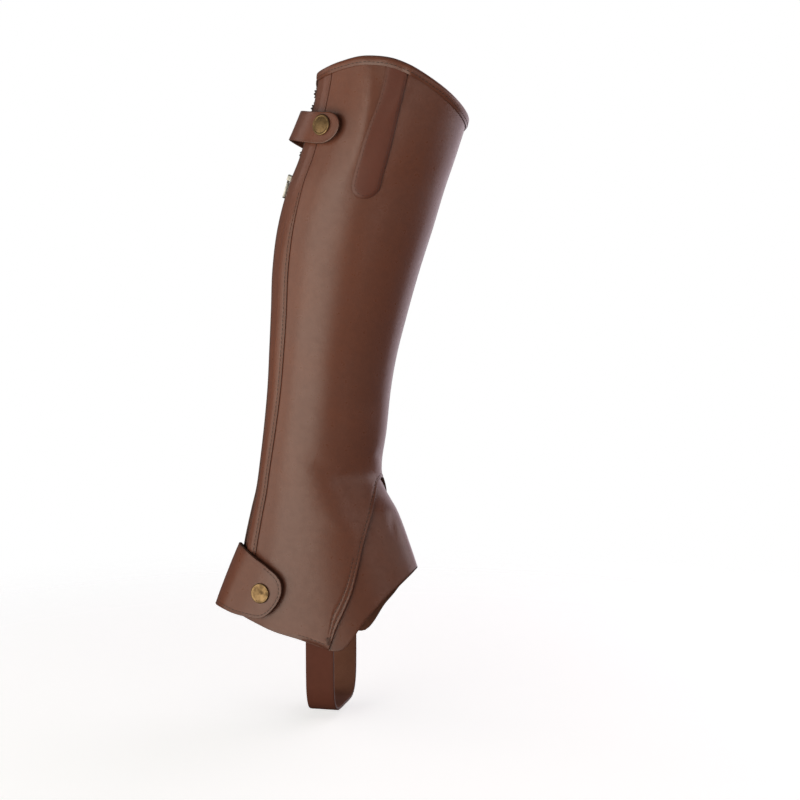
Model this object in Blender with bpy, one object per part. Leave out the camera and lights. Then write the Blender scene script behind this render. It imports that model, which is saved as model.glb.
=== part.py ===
"""A right half chap in smooth brown leather, standing in the hollow form that it has when it is worn.

The toe points to +X, the outer side to -Y and the rim to +Z. The origin is the middle of the calf hollow.
Sizes are in millimetres, angles in degrees; the meshes are made in metres. An angle runs round the leg from
the front: 0 is the front, -90 the outer side, 90 the inner side and 180 the back.
"""

from collections import namedtuple
from math import ceil, cos, pi, radians, sin, sqrt

import bmesh
import bpy
from mathutils import Matrix, Vector

MM = 0.001

# Thicknesses of the leathers and the zip, and the gap left between pieces
GAP = 0.3
MAIN_THICK = 1.8
STRIP_THICK = 1.5
BINDING_THICK = 1.0
TAB_THICK = 2.2
STRAP_THICK = 2.2
TAPE_THICK = 0.9

# The outside of the main panel, level by level
Level = namedtuple("Level", "height back front half_width back_round")
LEVELS = (
    Level(-345, -106, 65, 39.5, 0.20),
    Level(-300, -100, 48.2, 39, 0.20),
    Level(-265, -94, 36.2, 38.5, 0.18),
    Level(-240, -88.2, 26.4, 38.5, 0.16),
    Level(-225, -84.4, 17.6, 38.5, 0.14),
    Level(-210, -82, 11.8, 38.5, 0.12),
    Level(-180, -78.1, 15.4, 39.5, 0.10),
    Level(-150, -75, 18.6, 41, 0.08),
    Level(-120, -73, 24, 43.5, 0.08),
    Level(-90, -71.3, 31.9, 46.5, 0.08),
    Level(-60, -69.8, 40.5, 49.5, 0.08),
    Level(-30, -65.6, 50.3, 52, 0.08),
    Level(0, -57.2, 59.4, 54.5, 0.08),
    Level(22, -47.8, 66.9, 56, 0.08),
    Level(45, -41, 74.6, 57, 0.07),
    Level(75, -34.4, 84.6, 58, 0.06),
    Level(105, -31, 91.6, 58.5, 0.06),
)
SQUARENESS = 0.025

# Heights of the rim, the lower hem, the vamp's seam and the vamp's lower edge, by angle
EdgePoint = namedtuple("EdgePoint", "angle height")
RIM = (
    EdgePoint(-180, 79.2),
    EdgePoint(-161, 80),
    EdgePoint(-140, 81.9),
    EdgePoint(-121, 85.2),
    EdgePoint(-107, 87.5),
    EdgePoint(-95, 87.4),
    EdgePoint(-82, 85.2),
    EdgePoint(-69, 80),
    EdgePoint(-49, 69.6),
    EdgePoint(-33, 61.8),
    EdgePoint(-19, 56.2),
    EdgePoint(0, 51),
    EdgePoint(30, 46.5),
    EdgePoint(60, 46.5),
    EdgePoint(95, 51),
    EdgePoint(130, 62),
    EdgePoint(165, 74.4),
    EdgePoint(185, 78.6),
    EdgePoint(200, 80),
)
HEM = (
    EdgePoint(88, -339.5),
    EdgePoint(100, -333.6),
    EdgePoint(117, -328.2),
    EdgePoint(134, -322),
    EdgePoint(161, -316.5),
    EdgePoint(185, -315),
)
VAMP_SEAM = (
    EdgePoint(0, -214.5),
    EdgePoint(17, -218),
    EdgePoint(31, -227.4),
    EdgePoint(44, -239.5),
    EdgePoint(57, -260.3),
    EdgePoint(66, -283.7),
    EdgePoint(71, -297.7),
    EdgePoint(78, -313.2),
    EdgePoint(83, -324.4),
    EdgePoint(88, -339.5),
)
VAMP_HEM = (
    EdgePoint(0, -281),
    EdgePoint(10, -282.3),
    EdgePoint(24, -285.7),
    EdgePoint(38, -292.2),
    EdgePoint(51, -301.2),
    EdgePoint(57, -307.4),
    EdgePoint(67, -318.7),
    EdgePoint(77, -334.6),
    EdgePoint(82, -340.2),
    EdgePoint(88, -340.4),
    EdgePoint(97, -334),
)
HEM_CORNER = 88

# The zip runs down the back on this angle. Its two leather edges part above the slider.
ZIP_ANGLE = -161
ZIP_HALF_GAP = 6
ZIP_PARTED_HALF_GAP = 11
ZIP_PARTS_AT = 12
ZIP_PARTED_BY = 50
TAPE_WIDTH = 11
TAPE_COLUMNS = (0, 0.25, 1)
TAPE_DEPTH = 2.2
TAPE_BELOW_BINDING = 4.5
TEETH_BELOW_BINDING = 6
CHAIN_ABOVE_HEM = 4
CHAIN_HALF_WIDTH = 3
CHAIN_THICK = 2.6
HALF_CHAIN_WIDTH = 2.8
SLIDER_BOTTOM = 0
SLIDER_TOP = 11
SLIDER_CLEAR = 0.9
WAVE_HEIGHT = 0.8
WAVE_LENGTH = 11

# The back strip's front edge stands this far round from the zip, more at the calf than at the heel
STRIP_REACH_CALF = 34.7
STRIP_REACH_HEEL = 23.5
STRIP_WIDENS_FROM = -250
STRIP_WIDENS_TO = -40
STRIP_MIDDLE = 15
STRIP_LAP = 8
STRIP_STEP_STARTS = 0.6
STRIP_STEP_ENDS = 5
STRIP_CLEAR_OF_RIM = 1.2

# The main panel's two edges, as angles that are then drawn to the back strip and to the zip
PANEL_START = -131
PANEL_END = 192
PANEL_DRAWN_OVER = 40
ROWS = 24

# The vamp lies inside the main panel and reaches up under it
VAMP_OUT = -MAIN_THICK - GAP - 0.2
VAMP_REACH = 95
VAMP_LAP_TURN = 9
VAMP_LAP_RISE = 6

# The binding's width below the rim on each side, and its rise over the strips that it crosses
BINDING_WIDTH = 4.5
BINDING_CLEAR_INSIDE = 0.1
BINDING_RISE_CLEAR = 4
BINDING_RISE_RAMP = 6

# The side strip's middle and half width, level by level from its round end, and where its rows of points
# stand above that end
SideLevel = namedtuple("SideLevel", "height angle half_width")
SIDE_LEVELS = (
    SideLevel(-9.4, -75.8, 10.4),
    SideLevel(6, -77.8, 10.4),
    SideLevel(28, -79, 10.2),
    SideLevel(45, -79, 9.2),
    SideLevel(60, -78.6, 8.2),
    SideLevel(84, -79, 7.9),
)
SIDE_BOTTOM = -9.4
SIDE_REACHES = (0.25, 1.6, 4.2, 7.5, 10, 20, 35, 50, 65, 80)
SIDE_TOP_ANGLE = -79
SIDE_TOP_HALF_WIDTH = 8

# The top tab by its distance round from the zip: its middle's height and how far its inside stands off the leg
# at its lower and upper edges
TabCross = namedtuple("TabCross", "distance middle low_out high_out")
TAB_CROSSES = (
    TabCross(-56, 35.2, 0.5, 0.5),
    TabCross(-40, 38.2, 0.8, 0.6),
    TabCross(-26, 40.7, 3.6, 2.0),
    TabCross(-12, 42.6, 7.2, 4.4),
    TabCross(0, 43.2, 8.6, 5.0),
    TabCross(12, 42.6, 8.4, 5.0),
    TabCross(28, 40.9, 6.6, 5.0),
    TabCross(42, 39.9, 5.0, 4.6),
    TabCross(55, 39.9, 4.2, 4.2),
)
TAB_HALF_WIDTH = 11
TAB_ROOT = -56
TAB_TIP = 54.8
TAB_TIP_BLUNT = 0.12
TAB_SNAP = 42
TAB_SNAP_SHARE = 0.583

# The heel flap in the same way, with the heights of its lower and upper edges
FlapCross = namedtuple("FlapCross", "distance bottom top low_out high_out")
FLAP_CROSSES = (
    FlapCross(-50, -313, -284, 0.7, 0.7),
    FlapCross(-36, -314, -279, 1.8, 0.8),
    FlapCross(-18, -315, -271.5, 8.2, 1.0),
    FlapCross(-2, -314.5, -266.5, 13.0, 1.4),
    FlapCross(9, -314.5, -267, 12.0, 2.6),
    FlapCross(20, -316.5, -270, 8.8, 3.4),
    FlapCross(31, -317.5, -275, 6.0, 3.6),
    FlapCross(41, -316.4, -280.6, 4.6, 3.6),
    FlapCross(48, -309.5, -286.2, 3.8, 3.4),
    FlapCross(51.4, -302.5, -291, 3.4, 3.2),
    FlapCross(52.4, -298.5, -294.5, 3.3, 3.2),
)
FLAP_ROOT = -50
FLAP_SNAP = 37
FLAP_SNAP_SHARE = 0.48

# The two snaps: a cap's profile as shares of its radius, and the stud's two radii
SNAP_CAP_RADIUS = 7.5
CapPoint = namedtuple("CapPoint", "radius_share rise")
CAP_PROFILE = (
    CapPoint(0, 0),
    CapPoint(0.94, 0),
    CapPoint(1, 0.5),
    CapPoint(0.93, 0.95),
    CapPoint(0.6, 1.35),
    CapPoint(0, 1.5),
)
STUD_BASE_RADIUS = 4.6
STUD_NECK_RADIUS = 3.2
STUD_TOP_CLEAR = 0.35
STUD_FOOT_CLEAR = 0.1

# The stirrup strap's middle line, from inside the hem down to the middle of the sole
STRAP_MIDDLE_X = -26.8
STRAP_WIDTH = 21.5
StrapPoint = namedtuple("StrapPoint", "half_across height")
STRAP_PATH = (
    StrapPoint(32.8, -324),
    StrapPoint(33.0, -345),
    StrapPoint(32.8, -362),
    StrapPoint(31.6, -375),
    StrapPoint(27.6, -384.2),
    StrapPoint(20.4, -388.4),
    StrapPoint(10, -389.2),
    StrapPoint(0, -389.2),
)

# The slider in its own frame: x across the zip, y along it upwards, z away from the leg
SLIDER_HALF_WIDTH = 4.6
SLIDER_PLATE_TOP = -0.8
SLIDER_PLATE_BOTTOM = -1.5
SLIDER_BACK_TOP = -3.8
SLIDER_BACK_BOTTOM = -4.9
SLIDER_WEB_HALF_WIDTH = 1.8
PULL_AXIS_ALONG = 8.2
PULL_AXIS_OUT = 1.1
PULL_BARREL_RADIUS = 1.1
PULL_BARREL_HALF = 1.6
EAR_THICK = 1.1
EAR_HALF_LENGTH = 2.0
EAR_ABOVE_AXIS = 1.5
SLIDER_SUNK = 0.6
PULL_LENGTH = 15.5
PULL_TIP_DROP = 1.2
PULL_THICK = 1.8
PullPoint = namedtuple("PullPoint", "half_width reach")
PULL_OUTLINE = (
    PullPoint(1.36, -0.2),
    PullPoint(1.36, 2),
    PullPoint(2.4, 3.8),
    PullPoint(2.4, 13.9),
    PullPoint(1.3, PULL_LENGTH),
)


def smoothstep(low, high, value):
    t = min(1.0, max(0.0, (value - low) / (high - low)))
    return t * t * (3 - 2 * t)


def smooth_value(rows, at, column):
    """Value of a table's column on a smooth curve through its rows, which run upwards in their first column."""
    last = len(rows) - 1
    if at <= rows[0][0]:
        return rows[0][column] + (at - rows[0][0]) * row_slope(rows, 0, 1, column)
    if at >= rows[last][0]:
        return rows[last][column] + (at - rows[last][0]) * row_slope(rows, last - 1, last, column)
    i = next(k for k in range(last) if at <= rows[k + 1][0])
    span = rows[i + 1][0] - rows[i][0]
    t = (at - rows[i][0]) / span
    start_slope = row_slope(rows, max(i - 1, 0), i + 1, column) * span
    end_slope = row_slope(rows, i, min(i + 2, last), column) * span
    rise = t * t * (3 - 2 * t)
    return (
        rows[i][column] * (1 - rise)
        + rows[i + 1][column] * rise
        + (t**3 - 2 * t**2 + t) * start_slope
        + (t**3 - t**2) * end_slope
    )


def row_slope(rows, low, high, column):
    return (rows[high][column] - rows[low][column]) / (rows[high][0] - rows[low][0])


def form_point(angle, height):
    """A point of the outside of the leg form: an oval, fuller at the back and slightly squared."""
    back, front, half_width, back_round = (smooth_value(LEVELS, height, column) for column in range(1, 5))
    along = cos(radians(angle))
    across = sin(radians(angle))
    full = 1 + SQUARENESS * sin(radians(2 * angle)) ** 2
    x = (front + back) / 2 + (front - back) / 2 * along * full
    y = half_width * across * (1 - back_round * along) * full
    return Vector((x, y, height))


def form_normal(angle, height):
    round_way = form_point(angle + 0.1, height) - form_point(angle - 0.1, height)
    up_way = form_point(angle, height + 0.1) - form_point(angle, height - 0.1)
    return round_way.cross(up_way).normalized()


def on_leg(angle, height, out):
    """The point that lies out millimetres above the leg form."""
    return form_point(angle, height) + form_normal(angle, height) * out


def walk(angle, height, distance):
    """The angle reached from another by going this many millimetres round the leg at one height."""
    steps = max(1, ceil(abs(distance) / 4))
    for _ in range(steps):
        rate = (form_point(angle + 1, height) - form_point(angle - 1, height)).length / 2
        middle = angle + distance / steps / rate / 2
        rate = (form_point(middle + 1, height) - form_point(middle - 1, height)).length / 2
        angle += distance / steps / rate
    return angle


def from_zip(distance, height):
    """The angle this far round from the zip's middle: positive on the outer side, negative on the inner."""
    return walk(ZIP_ANGLE, height, distance)


def half_gap(height):
    """Half of the distance between the two leather edges at the zip."""
    return ZIP_HALF_GAP + (ZIP_PARTED_HALF_GAP - ZIP_HALF_GAP) * smoothstep(ZIP_PARTS_AT, ZIP_PARTED_BY, height)


def strip_reach(height):
    """Distance from the zip's middle to the back strip's front edge."""
    return STRIP_REACH_HEEL + (STRIP_REACH_CALF - STRIP_REACH_HEEL) * smoothstep(
        STRIP_WIDENS_FROM, STRIP_WIDENS_TO, height
    )


def turned(angle):
    """An angle from the front without its side: 0 at the front, 180 at the back."""
    return abs((angle + 180) % 360 - 180)


def rim_height(angle):
    return smooth_value(RIM, angle, 1)


def hem_height(angle):
    return smooth_value(HEM, turned(angle), 1)


def main_bottom(angle):
    return smooth_value(VAMP_SEAM if turned(angle) < HEM_CORNER else HEM, turned(angle), 1)


def finished(name, mesh, material):
    """An object from a mesh in millimetres, with its faces outwards and its smooth surfaces shaded smooth."""
    bmesh.ops.recalc_face_normals(mesh, faces=mesh.faces)
    bmesh.ops.transform(mesh, matrix=Matrix.Scale(MM, 4), verts=mesh.verts)
    data = bpy.data.meshes.new(name)
    mesh.to_mesh(data)
    mesh.free()
    data.materials.append(material)
    data.shade_smooth()
    data.set_sharp_from_angle(angle=radians(40))
    thing = bpy.data.objects.new(name, data)
    bpy.context.scene.collection.objects.link(thing)
    return thing


def wall(name, columns, rows, place, material):
    """A closed wall with a grid on each face. place(column, row, depth) gives a point, depth 1 inside."""
    mesh = bmesh.new()
    bmesh.ops.create_grid(mesh, x_segments=columns, y_segments=rows, size=1)
    sheet = mesh.verts[:] + mesh.edges[:] + mesh.faces[:]
    made = bmesh.ops.extrude_face_region(mesh, geom=sheet, use_keep_orig=True)
    inner = {item for item in made["geom"] if isinstance(item, bmesh.types.BMVert)}
    for vert in mesh.verts:
        column = round((vert.co.x + 1) / 2 * columns)
        row = round((vert.co.y + 1) / 2 * rows)
        vert.co = place(column, row, 1 if vert in inner else 0)
    return finished(name, mesh, material)


def spread(*anchors):
    """A list of values from (value, steps to the next) pairs."""
    values = []
    for (start, steps), (end, _) in zip(anchors, anchors[1:]):
        values += [start + (end - start) * k / steps for k in range(steps)]
    return values + [anchors[-1][0]]


def main_panel(material):
    """One piece from under the back strip round the outer side, the front and the inner side to the zip."""
    nominal = spread((PANEL_START, 6), (-HEM_CORNER, 12), (0, 12), (HEM_CORNER, 13), (PANEL_END, 0))

    def angle_at(column, height):
        angle = nominal[column]
        start = from_zip(strip_reach(height) - STRIP_LAP, height)
        end = 360 + from_zip(-half_gap(height), height)
        at_start = 1 - smoothstep(PANEL_START, PANEL_START + PANEL_DRAWN_OVER, angle)
        at_end = smoothstep(PANEL_END - PANEL_DRAWN_OVER, PANEL_END, angle)
        return angle + (start - PANEL_START) * at_start + (end - PANEL_END) * at_end

    def edge(column, height_of):
        height = height_of(nominal[column])
        for _ in range(3):
            height = height_of(angle_at(column, height))
        return height

    tops = [edge(column, rim_height) for column in range(len(nominal))]
    bottoms = [edge(column, main_bottom) for column in range(len(nominal))]

    def place(column, row, depth):
        height = bottoms[column] + (tops[column] - bottoms[column]) * row / ROWS
        return on_leg(angle_at(column, height), height, -MAIN_THICK * depth)

    return wall("main_panel", len(nominal) - 1, ROWS, place, material)


def vamp(material):
    """The instep piece, one thickness inside the main panel, which laps over its upper edge."""
    columns, rows = 26, 8

    def place(column, row, depth):
        angle = -VAMP_REACH + 2 * VAMP_REACH * column / columns
        bottom = smooth_value(VAMP_HEM, turned(angle), 1)
        top = smooth_value(VAMP_SEAM, max(0, turned(angle) - VAMP_LAP_TURN), 1) + VAMP_LAP_RISE
        return on_leg(angle, bottom + (top - bottom) * row / rows, VAMP_OUT - MAIN_THICK * depth)

    return wall("vamp", columns, rows, place, material)


def back_strip(material):
    """The strip beside the zip. Its front edge lies on the main panel, its back edge level with it."""
    lap_end = STRIP_LAP + STRIP_STEP_STARTS
    step_end = STRIP_LAP + STRIP_STEP_ENDS

    def place(column, row, depth):
        nominal = from_zip(STRIP_MIDDLE, 0)
        bottom = hem_height(nominal)
        height = bottom + (rim_height(nominal) - STRIP_CLEAR_OF_RIM - bottom) * row / ROWS
        reach = strip_reach(height)
        width = reach - half_gap(height)
        distances = (0, STRIP_LAP / 2, lap_end, step_end, (step_end + width) / 2, width)
        sunk = 0 if column <= 2 else GAP + MAIN_THICK
        out = GAP + STRIP_THICK * (1 - depth) - sunk
        return on_leg(from_zip(reach - distances[column], height), height, out)

    return wall("back_strip", 5, ROWS, place, material)


def round_end(reach, radius):
    """Half width of a round-ended strip this far from its end."""
    if reach >= radius:
        return radius
    return sqrt(max(0.0, radius**2 - (radius - reach) ** 2))


def side_strip(material):
    """The applied strip on the outer side, from under the binding to its round lower end."""
    top = rim_height(SIDE_TOP_ANGLE) - STRIP_CLEAR_OF_RIM
    reaches = [*SIDE_REACHES, top - SIDE_BOTTOM]
    columns = 4

    def place(column, row, depth):
        height = SIDE_BOTTOM + reaches[row]
        middle = smooth_value(SIDE_LEVELS, height, 1)
        across = (2 * column / columns - 1) * round_end(reaches[row], smooth_value(SIDE_LEVELS, height, 2))
        if row == len(reaches) - 1:
            height = rim_height(walk(middle, height, across)) - STRIP_CLEAR_OF_RIM
        angle = walk(middle, height, across)
        return on_leg(angle, height, GAP + STRIP_THICK * (1 - depth))

    return wall("side_strip", columns, len(reaches) - 1, place, material)


def overlay_lift(angle, distance, height):
    """How far the binding rises where it passes over the back strip's lap and the side strip."""
    past_strip = strip_reach(height) + BINDING_RISE_CLEAR
    over_back = 1 - smoothstep(past_strip, past_strip + BINDING_RISE_RAMP, distance)
    past_side = SIDE_TOP_HALF_WIDTH + BINDING_RISE_CLEAR
    from_side = (form_point(angle, height) - form_point(SIDE_TOP_ANGLE, height)).length
    over_side = 1 - smoothstep(past_side, past_side + BINDING_RISE_RAMP, from_side)
    return (GAP + STRIP_THICK) * max(over_back, over_side if angle < 0 else 0)


def top_binding(material):
    """A narrow strip folded over the rim from the zip's outer edge right round to its inner edge."""
    columns = 64
    turns = 4
    inner_leg = -MAIN_THICK - GAP - BINDING_CLEAR_INSIDE
    first = from_zip(ZIP_PARTED_HALF_GAP, rim_height(ZIP_ANGLE))
    last = 360 + from_zip(-ZIP_PARTED_HALF_GAP, rim_height(ZIP_ANGLE))
    angles = [first + (last - first) * k / columns for k in range(columns + 1)]
    travelled = [ZIP_PARTED_HALF_GAP]
    for start, end in zip(angles, angles[1:]):
        step = form_point(end, rim_height(end)) - form_point(start, rim_height(start))
        travelled.append(travelled[-1] + step.xy.length)

    def place(column, row, depth):
        angle = angles[column]
        rim = rim_height(angle)
        outer_leg = GAP + overlay_lift(angle, travelled[column], rim)
        middle = (outer_leg + inner_leg) / 2
        radius = (outer_leg - inner_leg) / 2 + BINDING_THICK * (1 - depth)
        drop = BINDING_WIDTH if row in (0, turns + 2) else 0
        turn = pi * (min(max(row - 1, 0), turns)) / turns
        height = rim - drop + radius * sin(turn)
        return on_leg(angle, height, 0) + form_normal(angle, rim - drop) * (middle + radius * cos(turn))

    return wall("top_binding", columns, turns + 2, place, material)


def tab_point(distance, share, depth):
    """A point of the top tab: share runs from its lower edge, 0, to its upper edge, 1."""
    middle, low_out, high_out = (smooth_value(TAB_CROSSES, distance, value) for value in (1, 2, 3))
    reach = round_end(TAB_TIP - distance + TAB_TIP_BLUNT, TAB_HALF_WIDTH) * (2 * share - 1)
    tilt = 0.5 + reach / TAB_HALF_WIDTH / 2
    out = low_out + (high_out - low_out) * tilt + TAB_THICK * (1 - depth)
    return on_leg(from_zip(distance, middle + reach), middle + reach, out)


def flap_point(distance, share, depth):
    """A point of the heel flap, in the same way."""
    bottom, top, low_out, high_out = (smooth_value(FLAP_CROSSES, distance, value) for value in (1, 2, 3, 4))
    height = bottom + (top - bottom) * share
    out = low_out + (high_out - low_out) * share + TAB_THICK * (1 - depth)
    return on_leg(from_zip(distance, height), height, out)


def top_tab(material):
    """The strap that is sewn to the inner side, bridges the parted zip and snaps on the outer side."""
    along = spread((TAB_ROOT, 4), (-24, 8), (40, 3), (TAB_TIP - 6, 0))
    round_the_tip = [TAB_TIP - 2.6, TAB_TIP - 0.8, TAB_TIP]
    stops = along + round_the_tip
    rows = 4

    def place(column, row, depth):
        return tab_point(stops[column], row / rows, depth)

    return wall("top_tab", len(stops) - 1, rows, place, material)


def heel_flap(material):
    """The wide flap over the bottom of the zip, coned out at the heel, with a round nose."""
    along = spread((FLAP_ROOT, 4), (-18, 3), (-2, 2), (9, 2), (20, 2), (31, 2), (41, 0))
    round_the_nose = [45, 48.2, 50.4, 51.8, 52.4]
    stops = along + round_the_nose
    rows = 4

    def place(column, row, depth):
        return flap_point(stops[column], row / rows, depth)

    return wall("heel_flap", len(stops) - 1, rows, place, material)


def turned_piece(name, profile, sides, stand, material):
    """A round piece that stands on a matrix. profile has (radius, rise) pairs from bottom to top."""
    mesh = bmesh.new()
    points = [mesh.verts.new((radius, 0, rise)) for radius, rise in profile]
    edges = [mesh.edges.new(pair) for pair in zip(points, points[1:])]
    bmesh.ops.spin(
        mesh,
        geom=points + edges,
        cent=(0, 0, 0),
        axis=(0, 0, 1),
        angle=2 * pi,
        steps=sides,
        use_merge=True,
    )
    bmesh.ops.remove_doubles(mesh, verts=mesh.verts, dist=0.001)
    bmesh.ops.transform(mesh, matrix=stand, verts=mesh.verts)
    return finished(name, mesh, material)


def standing(point, normal):
    """The matrix that stands a piece on a point with its axis along the normal."""
    stand = normal.to_track_quat("Z", "Y").to_matrix().to_4x4()
    stand.translation = point
    return stand


def snap(name, point_of, distance, share, metal):
    """A snap's domed cap on a tab and the stud that stands between the tab and the panel."""
    middle = point_of(distance, share, 0)
    along = point_of(distance + 1, share, 0) - point_of(distance - 1, share, 0)
    up = point_of(distance, share + 0.05, 0) - point_of(distance, share - 0.05, 0)
    normal = along.cross(up).normalized()
    cap = [(SNAP_CAP_RADIUS * point.radius_share, point.rise) for point in CAP_PROFILE]
    turned_piece(name + "_cap", cap, 20, standing(middle + normal * GAP, normal), metal)
    under = point_of(distance, share, 1)
    angle = from_zip(distance, under.z)
    foot = on_leg(angle, under.z, GAP + STUD_FOOT_CLEAR)
    tall = (under - foot).length - GAP - STUD_TOP_CLEAR
    base = [(0, 0), (STUD_BASE_RADIUS, 0), (STUD_BASE_RADIUS, tall * 0.45)]
    neck = [(STUD_NECK_RADIUS, tall * 0.55), (STUD_NECK_RADIUS, tall), (0, tall)]
    turned_piece(name + "_stud", base + neck, 14, standing(foot, form_normal(angle, under.z)), metal)


def stirrup_strap(material):
    """The strap that goes from inside the hem under the foot to the other side."""
    one_side = [(-point.half_across, point.height) for point in STRAP_PATH]
    path = one_side + [(-across, height) for across, height in reversed(one_side[:-1])]
    columns = 3

    def place(column, row, depth):
        across, height = path[row]
        before = path[max(row - 1, 0)]
        after = path[min(row + 1, len(path) - 1)]
        way = Vector((0, after[0] - before[0], after[1] - before[1])).normalized()
        inward = Vector((0, -way.z, way.y))
        x = STRAP_MIDDLE_X + (column / columns - 0.5) * STRAP_WIDTH
        return Vector((x, across, height)) + inward * STRAP_THICK * (depth - 0.5)

    return wall("stirrup_strap", columns, len(path) - 1, place, material)


def wave(height):
    """The parted tape's edge ripples above the slider."""
    grown = smoothstep(SLIDER_TOP, SLIDER_TOP + 18, height)
    return WAVE_HEIGHT * grown * (sin(2 * pi * (height - SLIDER_TOP) / WAVE_LENGTH) - 1)


def zip_tape(name, side, material):
    """One tape, sewn under a leather edge, with its free edge toward the zip's middle."""
    bottom = hem_height(ZIP_ANGLE)
    top = rim_height(ZIP_ANGLE) - BINDING_WIDTH - TAPE_BELOW_BINDING
    parted_rows = 22
    closed_rows = 18
    heights = spread((bottom + 1, closed_rows), (SLIDER_TOP, parted_rows), (top, 0))

    def place(column, row, depth):
        height = heights[row]
        free_edge = half_gap(height) - ZIP_HALF_GAP + CHAIN_HALF_WIDTH + GAP
        distance = side * (free_edge + TAPE_WIDTH * TAPE_COLUMNS[column])
        out = -TAPE_DEPTH - TAPE_THICK * depth + (wave(height) if column == 0 else 0)
        return on_leg(from_zip(distance, height), height, out)

    return wall(name, 2, len(heights) - 1, place, material)


def zip_bar(name, side, low, high, rows, material):
    """A length of zip teeth: both rows meshed for side 0, or one row along the tape of that side."""
    middle_depth = TAPE_DEPTH + TAPE_THICK / 2

    def place(column, row, depth):
        height = low + (high - low) * row / rows
        if side == 0:
            distance = CHAIN_HALF_WIDTH * (2 * column - 1)
            lift = 0
        else:
            edge = half_gap(height) - ZIP_HALF_GAP + CHAIN_HALF_WIDTH
            distance = side * (edge - HALF_CHAIN_WIDTH * column)
            lift = wave(height)
        out = -middle_depth + CHAIN_THICK * (0.5 - depth) + lift
        return on_leg(from_zip(distance, height), height, out)

    return wall(name, 1, rows, place, material)


def slider_frame():
    """The matrix that carries the slider's own frame to the zip, at its lower end."""
    foot = form_point(ZIP_ANGLE, SLIDER_BOTTOM)
    head = form_point(ZIP_ANGLE, SLIDER_TOP)
    along = (head - foot).normalized()
    out = form_normal(ZIP_ANGLE, (SLIDER_BOTTOM + SLIDER_TOP) / 2)
    across = along.cross(out).normalized()
    out = across.cross(along)
    matrix = Matrix((across, along, out)).transposed().to_4x4()
    matrix.translation = foot
    return matrix


def block(mesh, low, high):
    """Adds a closed box from its low and high corners."""
    size = [b - a for a, b in zip(low, high)]
    middle = [(a + b) / 2 for a, b in zip(low, high)]
    matrix = Matrix.Translation(middle) @ Matrix.Diagonal((*size, 1))
    bmesh.ops.create_cube(mesh, size=1, matrix=matrix)


def barrel(mesh, along, out, half_length, radius, sides):
    """Adds a closed cylinder whose axis runs across the zip."""
    matrix = Matrix.Translation((0, along, out)) @ Matrix.Rotation(pi / 2, 4, "Y")
    bmesh.ops.create_cone(
        mesh,
        cap_ends=True,
        segments=sides,
        radius1=radius,
        radius2=radius,
        depth=2 * half_length,
        matrix=matrix,
    )


def joined(target, others):
    """Unites closed objects into one body."""
    for other in others:
        union = target.modifiers.new("union", "BOOLEAN")
        union.operation = "UNION"
        union.solver = "EXACT"
        union.object = other
        other.hide_render = True
        other.display_type = "WIRE"
    return target


def zip_slider(metal):
    """Front and back plates round the tapes, a web between them, and two ears that hold the pull."""
    frame = slider_frame()
    length = SLIDER_TOP - SLIDER_BOTTOM
    boxes = {
        "zip_slider": ((-SLIDER_HALF_WIDTH, 0, SLIDER_PLATE_BOTTOM), (SLIDER_HALF_WIDTH, length, SLIDER_PLATE_TOP)),
        "slider_back": ((-SLIDER_HALF_WIDTH, 0, SLIDER_BACK_BOTTOM), (SLIDER_HALF_WIDTH, length, SLIDER_BACK_TOP)),
        "slider_web": (
            (-SLIDER_WEB_HALF_WIDTH, SLIDER_SUNK, SLIDER_BACK_TOP - SLIDER_SUNK),
            (SLIDER_WEB_HALF_WIDTH, length - SLIDER_SUNK, SLIDER_PLATE_BOTTOM + SLIDER_SUNK / 2),
        ),
    }
    inner = PULL_BARREL_HALF + GAP
    for side, name in ((-1, "slider_ear_a"), (1, "slider_ear_b")):
        near, far = sorted((side * inner, side * (inner + EAR_THICK)))
        boxes[name] = (
            (near, PULL_AXIS_ALONG - EAR_HALF_LENGTH, SLIDER_PLATE_TOP - SLIDER_SUNK / 2),
            (far, PULL_AXIS_ALONG + EAR_HALF_LENGTH, PULL_AXIS_OUT + EAR_ABOVE_AXIS),
        )
    made = []
    for name, (low, high) in boxes.items():
        mesh = bmesh.new()
        block(mesh, low, high)
        bmesh.ops.transform(mesh, matrix=frame, verts=mesh.verts)
        made.append(finished(name, mesh, metal))
    return joined(made[0], made[1:])


def zip_pull(metal):
    """A flat pull with a round end, hanging from its barrel. Its origin is on the barrel's axis."""
    frame = slider_frame()
    mesh = bmesh.new()
    barrel(mesh, PULL_AXIS_ALONG, PULL_AXIS_OUT, PULL_BARREL_HALF, PULL_BARREL_RADIUS, 12)
    bmesh.ops.transform(mesh, matrix=frame, verts=mesh.verts)
    eye = finished("pull_barrel", mesh, metal)
    mesh = bmesh.new()
    outline = [(point.half_width, point.reach) for point in PULL_OUTLINE]
    outline += [(-half, reach) for half, reach in reversed(outline)]
    corners = []
    for half, reach in outline:
        low_side = PULL_AXIS_OUT - PULL_TIP_DROP * reach / PULL_LENGTH - PULL_THICK / 2
        corners.append(mesh.verts.new((half, PULL_AXIS_ALONG - reach, low_side)))
    face = mesh.faces.new(corners)
    raised = bmesh.ops.extrude_face_region(mesh, geom=[face], use_keep_orig=True)
    verts = [item for item in raised["geom"] if isinstance(item, bmesh.types.BMVert)]
    bmesh.ops.translate(mesh, verts=verts, vec=(0, 0, PULL_THICK))
    bmesh.ops.transform(mesh, matrix=frame, verts=mesh.verts)
    plate = finished("zip_pull", mesh, metal)
    joined(plate, [eye])
    pivot = frame @ Vector((0, PULL_AXIS_ALONG, PULL_AXIS_OUT)) * MM
    for thing in (plate, eye):
        thing.data.transform(Matrix.Translation(-pivot))
        thing.location = pivot
    return plate


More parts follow.
